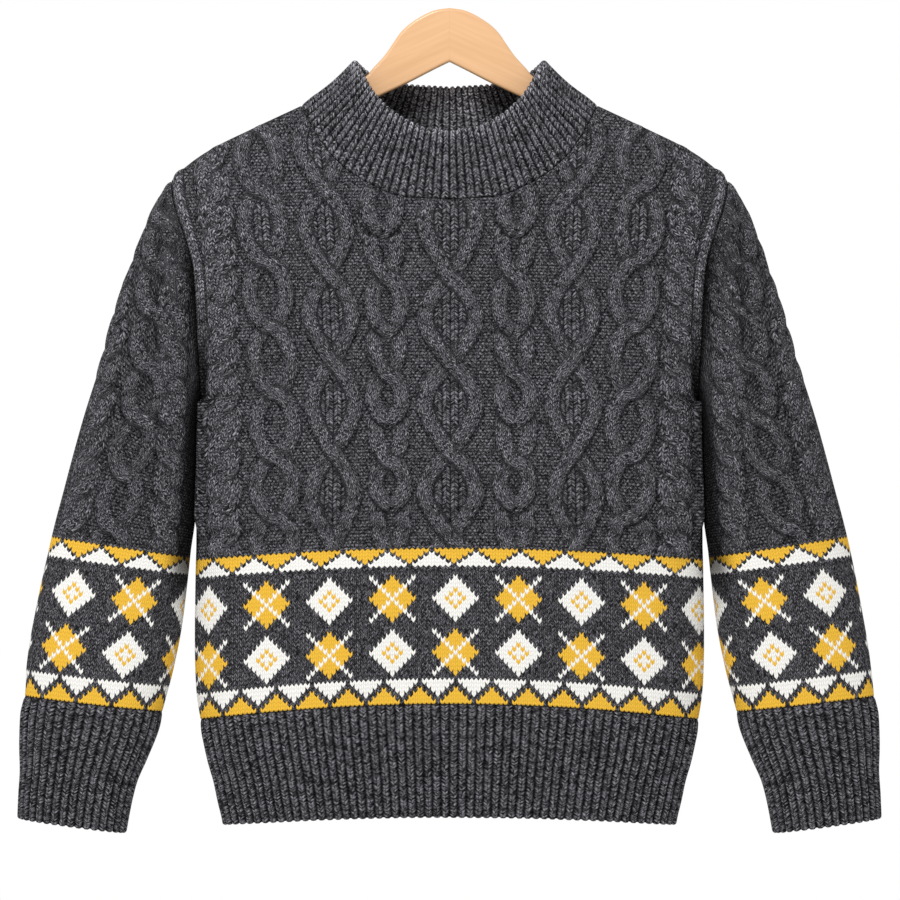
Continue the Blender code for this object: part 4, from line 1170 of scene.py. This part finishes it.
def heather_group():
    """Heathered yarn: dark fibres with pale ones that run along each stitch's leg."""
    tree, given = new_group("heathered_yarn", Along=0.0, Aside=0.0, Patch=0.0,
                            Dark=(0.02, 0.02, 0.024), Pale=(0.2, 0.2, 0.22), Amount=0.5)
    place = tree.nodes.new("ShaderNodeCombineXYZ")
    feed(tree, place.inputs[0], given["Along"] * 0.7 + given["Patch"] * 7.3)
    feed(tree, place.inputs[1], given["Aside"] * 1.1)
    cells = tree.nodes.new("ShaderNodeTexVoronoi")
    cells.voronoi_dimensions = "2D"
    cells.inputs["Scale"].default_value = 1.0
    tree.links.new(place.outputs[0], cells.inputs["Vector"])
    shares = tree.nodes.new("ShaderNodeSeparateColor")
    tree.links.new(cells.outputs["Color"], shares.inputs[0])
    fleck = Value(tree, shares.outputs[0]) ** 2.0 * given["Amount"] + (1.0 - given["Amount"])
    put_out(tree, Colour=blend_colour(tree, fleck, given["Dark"], given["Pale"]), Fleck=fleck)


# ---- materials -----------------------------------------------------------------------
WHITE, YELLOW = (0.70, 0.69, 0.655), (0.66, 0.386, 0.04)
YARN = dict(Dark=(0.004, 0.004, 0.005), Pale=(0.37, 0.365, 0.40), Amount=0.97)
CABLE_STITCH = (3.8, 3.74)
RIB_STITCH = (4.6, 3.4)


def map_values(tree, name):
    """Millimetres across and along from one of the piece's maps."""
    node = tree.nodes.new("ShaderNodeUVMap")
    node.uv_map = name
    parts = tree.nodes.new("ShaderNodeSeparateXYZ")
    tree.links.new(node.outputs[0], parts.inputs[0])
    return [Value(tree, parts.outputs[i]) * 1000.0 for i in range(2)]


def surface_values(tree):
    node = tree.nodes.new("ShaderNodeAttribute")
    node.attribute_name = "surface"
    parts = tree.nodes.new("ShaderNodeSeparateXYZ")
    tree.links.new(node.outputs["Vector"], parts.inputs[0])
    return [Value(tree, socket) for socket in (*parts.outputs[:3], node.outputs["Alpha"])]


def wool(name, knitting):
    """Matt wool; knitting(tree) gives its colour, its painted shade and its stitches' height."""
    material = bpy.data.materials.new(name)
    material.use_nodes = True
    tree = material.node_tree
    shader = tree.nodes["Principled BSDF"]
    shader.inputs["Roughness"].default_value = 0.9
    shader.inputs["Specular IOR Level"].default_value = 0.04
    colour, shade, height = knitting(tree)
    grey = tree.nodes.new("ShaderNodeCombineColor")
    for socket in grey.inputs[:3]:
        feed(tree, socket, shade)
    shaded = blend_colour(tree, 1.0, colour, Value(tree, grey.outputs[0]), "MULTIPLY")
    feed(tree, shader.inputs["Base Color"], shaded)
    bump = tree.nodes.new("ShaderNodeBump")
    bump.inputs["Strength"].default_value = 0.9
    bump.inputs["Distance"].default_value = 0.0011
    feed(tree, bump.inputs["Height"], height)
    tree.links.new(bump.outputs[0], shader.inputs["Normal"])
    return material


def patterned(tree):
    """Cables on a purl ground above the band, plain knitting with the chart in it."""
    across, down = map_values(tree, "knit")
    beside, along = map_values(tree, "strand")
    strand, plain, shade, rib = surface_values(tree)
    strand, plain = strand + rib > 0.5, plain > 0.5
    chart = use_group(tree, "coloured_chart", Across=across, Down=down)
    coloured = chart["White"].larger(chart["Yellow"])
    place = pick(strand, chart["Place"], beside)
    width = pick(strand, chart["Width"], CABLE_STITCH[0])
    height = pick(strand, chart["Height"], CABLE_STITCH[1])
    knit = use_group(tree, "knit_stitches", Across=place, Width=width, Height=height,
                     Down=pick(strand, chart["Depth"], along))
    purl = use_group(tree, "purl_bumps", Across=across, Down=down)
    rise = pick(strand.larger(plain), purl["Rise"], knit["Rise"])
    yarn = use_group(tree, "heathered_yarn", Along=place, Aside=knit["Slant"] * height,
                     Patch=(place / width * 2.0).floor(), **YARN)
    colour = blend_colour(tree, chart["Yellow"], yarn["Colour"], YELLOW)
    colour = blend_colour(tree, chart["White"], colour, WHITE)
    # Painted shade: darker between the stitches (less on the coloured yarn), in the grooves of the
    # ribs inside a diamond, and by the piece's painted shade. The charcoal in the plain band is
    # also darker.
    deep = pick(coloured, (rise * 0.85 + 0.15) * pick(plain, 1.0, 0.60), rise * 0.16 + 0.84)
    groove = 1.0 - rib * 0.62 * knit["Leg"] ** 3.5
    height = (yarn["Fleck"] * 0.25 + rise) * pick(coloured, 1.0, 0.42)
    return colour, deep * groove * shade, height


def ribbed(tree):
    """One column of stitches to a rib, with painted shade in the grooves."""
    phase, along = map_values(tree, "knit")
    inner, tone, rib, _ = surface_values(tree)
    width, height = RIB_STITCH
    place = (phase - 0.5) * width
    knit = use_group(tree, "knit_stitches", Across=place, Down=along, Width=width, Height=height)
    yarn = use_group(tree, "heathered_yarn", Along=place, Aside=knit["Slant"] * height,
                     Patch=(phase * 2.0).floor(), **YARN)
    # Painted shade between the stitches and in the grooves; the band's painted shade, its lip's
    # painted highlight and the painted light inside it come from the surface attribute.
    shade = (knit["Rise"] ** 0.8 * 0.75 + 0.25) * (rib ** 0.8 * 0.75 + 0.25)
    return yarn["Colour"], shade * tone * (inner * 0.7 + 1.0), yarn["Fleck"] * 0.25 + knit["Rise"]


def maple():
    """Pale wood whose grain falls along both arms from a joint in the middle."""
    material = bpy.data.materials.new("pale_maple")
    material.use_nodes = True
    tree = material.node_tree
    shader = tree.nodes["Principled BSDF"]
    shader.inputs["Roughness"].default_value = 0.42
    shader.inputs["Coat Weight"].default_value = 0.15
    where = tree.nodes.new("ShaderNodeTexCoord")
    parts = tree.nodes.new("ShaderNodeSeparateXYZ")
    tree.links.new(where.outputs["Object"], parts.inputs[0])
    x, y, z = [Value(tree, socket) for socket in parts.outputs]
    place = tree.nodes.new("ShaderNodeCombineXYZ")
    for socket, value in zip(place.inputs, (x * 14.0, y * 60.0, (abs(x) * 0.45 + z) * 240.0)):
        feed(tree, socket, value)
    noise = tree.nodes.new("ShaderNodeTexNoise")
    noise.inputs["Scale"].default_value = 1.0
    noise.inputs["Detail"].default_value = 4.0
    tree.links.new(place.outputs[0], noise.inputs["Vector"])
    grain = blend_colour(tree, Value(tree, noise.outputs["Fac"]), (0.60, 0.362, 0.188),
                         (0.47, 0.252, 0.108))
    joint = abs(x) < 0.0006
    feed(tree, shader.inputs["Base Color"],
         blend_colour(tree, joint * 0.15, grain, (0.45, 0.22, 0.09)))
    return material


# ---- build ---------------------------------------------------------------------------
stitch_group()
purl_group()
chart_group()
heather_group()
charcoal_knit = wool("charcoal_wool_with_chart", patterned)
charcoal_rib = wool("charcoal_ribbed_wool", ribbed)
pale_wood = maple()

garment = [
    ("front", "charcoal_knit", panel("front_knit", "front", charcoal_knit)),
    ("back", "charcoal_knit", panel("back_knit", "back", charcoal_knit)),
    ("sleeve_left", "charcoal_knit", sleeve("sleeve_left_knit", 1.0, charcoal_knit)),
    ("sleeve_right", "charcoal_knit", sleeve("sleeve_right_knit", -1.0, charcoal_knit)),
    ("neckband", "charcoal_rib", neckband("neckband_rib", charcoal_rib)),
    ("hem_band_front", "charcoal_rib", hem_band("hem_front_rib", "front", charcoal_rib)),
    ("hem_band_back", "charcoal_rib", hem_band("hem_back_rib", "back", charcoal_rib)),
    ("cuff_left", "charcoal_rib", cuff("cuff_left_rib", 1.0, charcoal_rib)),
    ("cuff_right", "charcoal_rib", cuff("cuff_right_rib", -1.0, charcoal_rib)),
]
board = hanger("hanger_board", pale_wood)

# attach each piece to the root and hide the CAD part that it stands for
for node, slot_name, piece in garment:
    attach(piece, "root")
    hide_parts(node)
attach(board, "root")
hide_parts("hanger")

# ---- studio --------------------------------------------------------------------------
scene = bpy.context.scene
scene.view_settings.view_transform = "Standard"
scene.view_settings.look = "None"
scene.view_settings.exposure = 0.0

world = bpy.data.worlds.new("white_studio")
scene.world = world
world.use_nodes = True
world.node_tree.nodes["Background"].inputs[0].default_value = (1.0, 1.0, 1.0, 1.0)
world.node_tree.nodes["Background"].inputs[1].default_value = 1.0

bm = bmesh.new()
bmesh.ops.create_circle(bm, cap_ends=True, radius=1.6, segments=64)
bmesh.ops.translate(bm, verts=bm.verts, vec=(0, 0, -1.3))
pale = bpy.data.materials.new("pale_floor")
pale.use_nodes = True
pale.node_tree.nodes["Principled BSDF"].inputs["Base Color"].default_value = (0.9, 0.9, 0.9, 1)
pale.node_tree.nodes["Principled BSDF"].inputs["Roughness"].default_value = 0.9
floor = finish_mesh(bm, "floor", pale)


def soft_light(name, place, aim, size, power):
    data = bpy.data.lights.new(name, "AREA")
    data.shape = "RECTANGLE"
    data.size, data.size_y = size
    data.energy = power
    light = bpy.data.objects.new(name, data)
    scene.collection.objects.link(light)
    light.location = place
    light.rotation_euler = (Vector(aim) - Vector(place)).to_track_quat("-Z", "Y").to_euler()
    return light


middle = (0.0, 0.0, -0.40)
key = soft_light("key_light", (-0.7, -2.0, 1.35), middle, (0.9, 0.9), 58.0)

camera_data = bpy.data.cameras.new("camera")
camera_data.sensor_width = 36.0
camera_data.lens = 36.0 * 6.0 / 0.81
camera_data.clip_end = 50.0
camera = bpy.data.objects.new("camera", camera_data)
scene.collection.objects.link(camera)
camera.location = (0.0005, -6.045, -0.4005)
camera.rotation_euler = (math.pi / 2, 0.0, 0.0)
scene.camera = camera
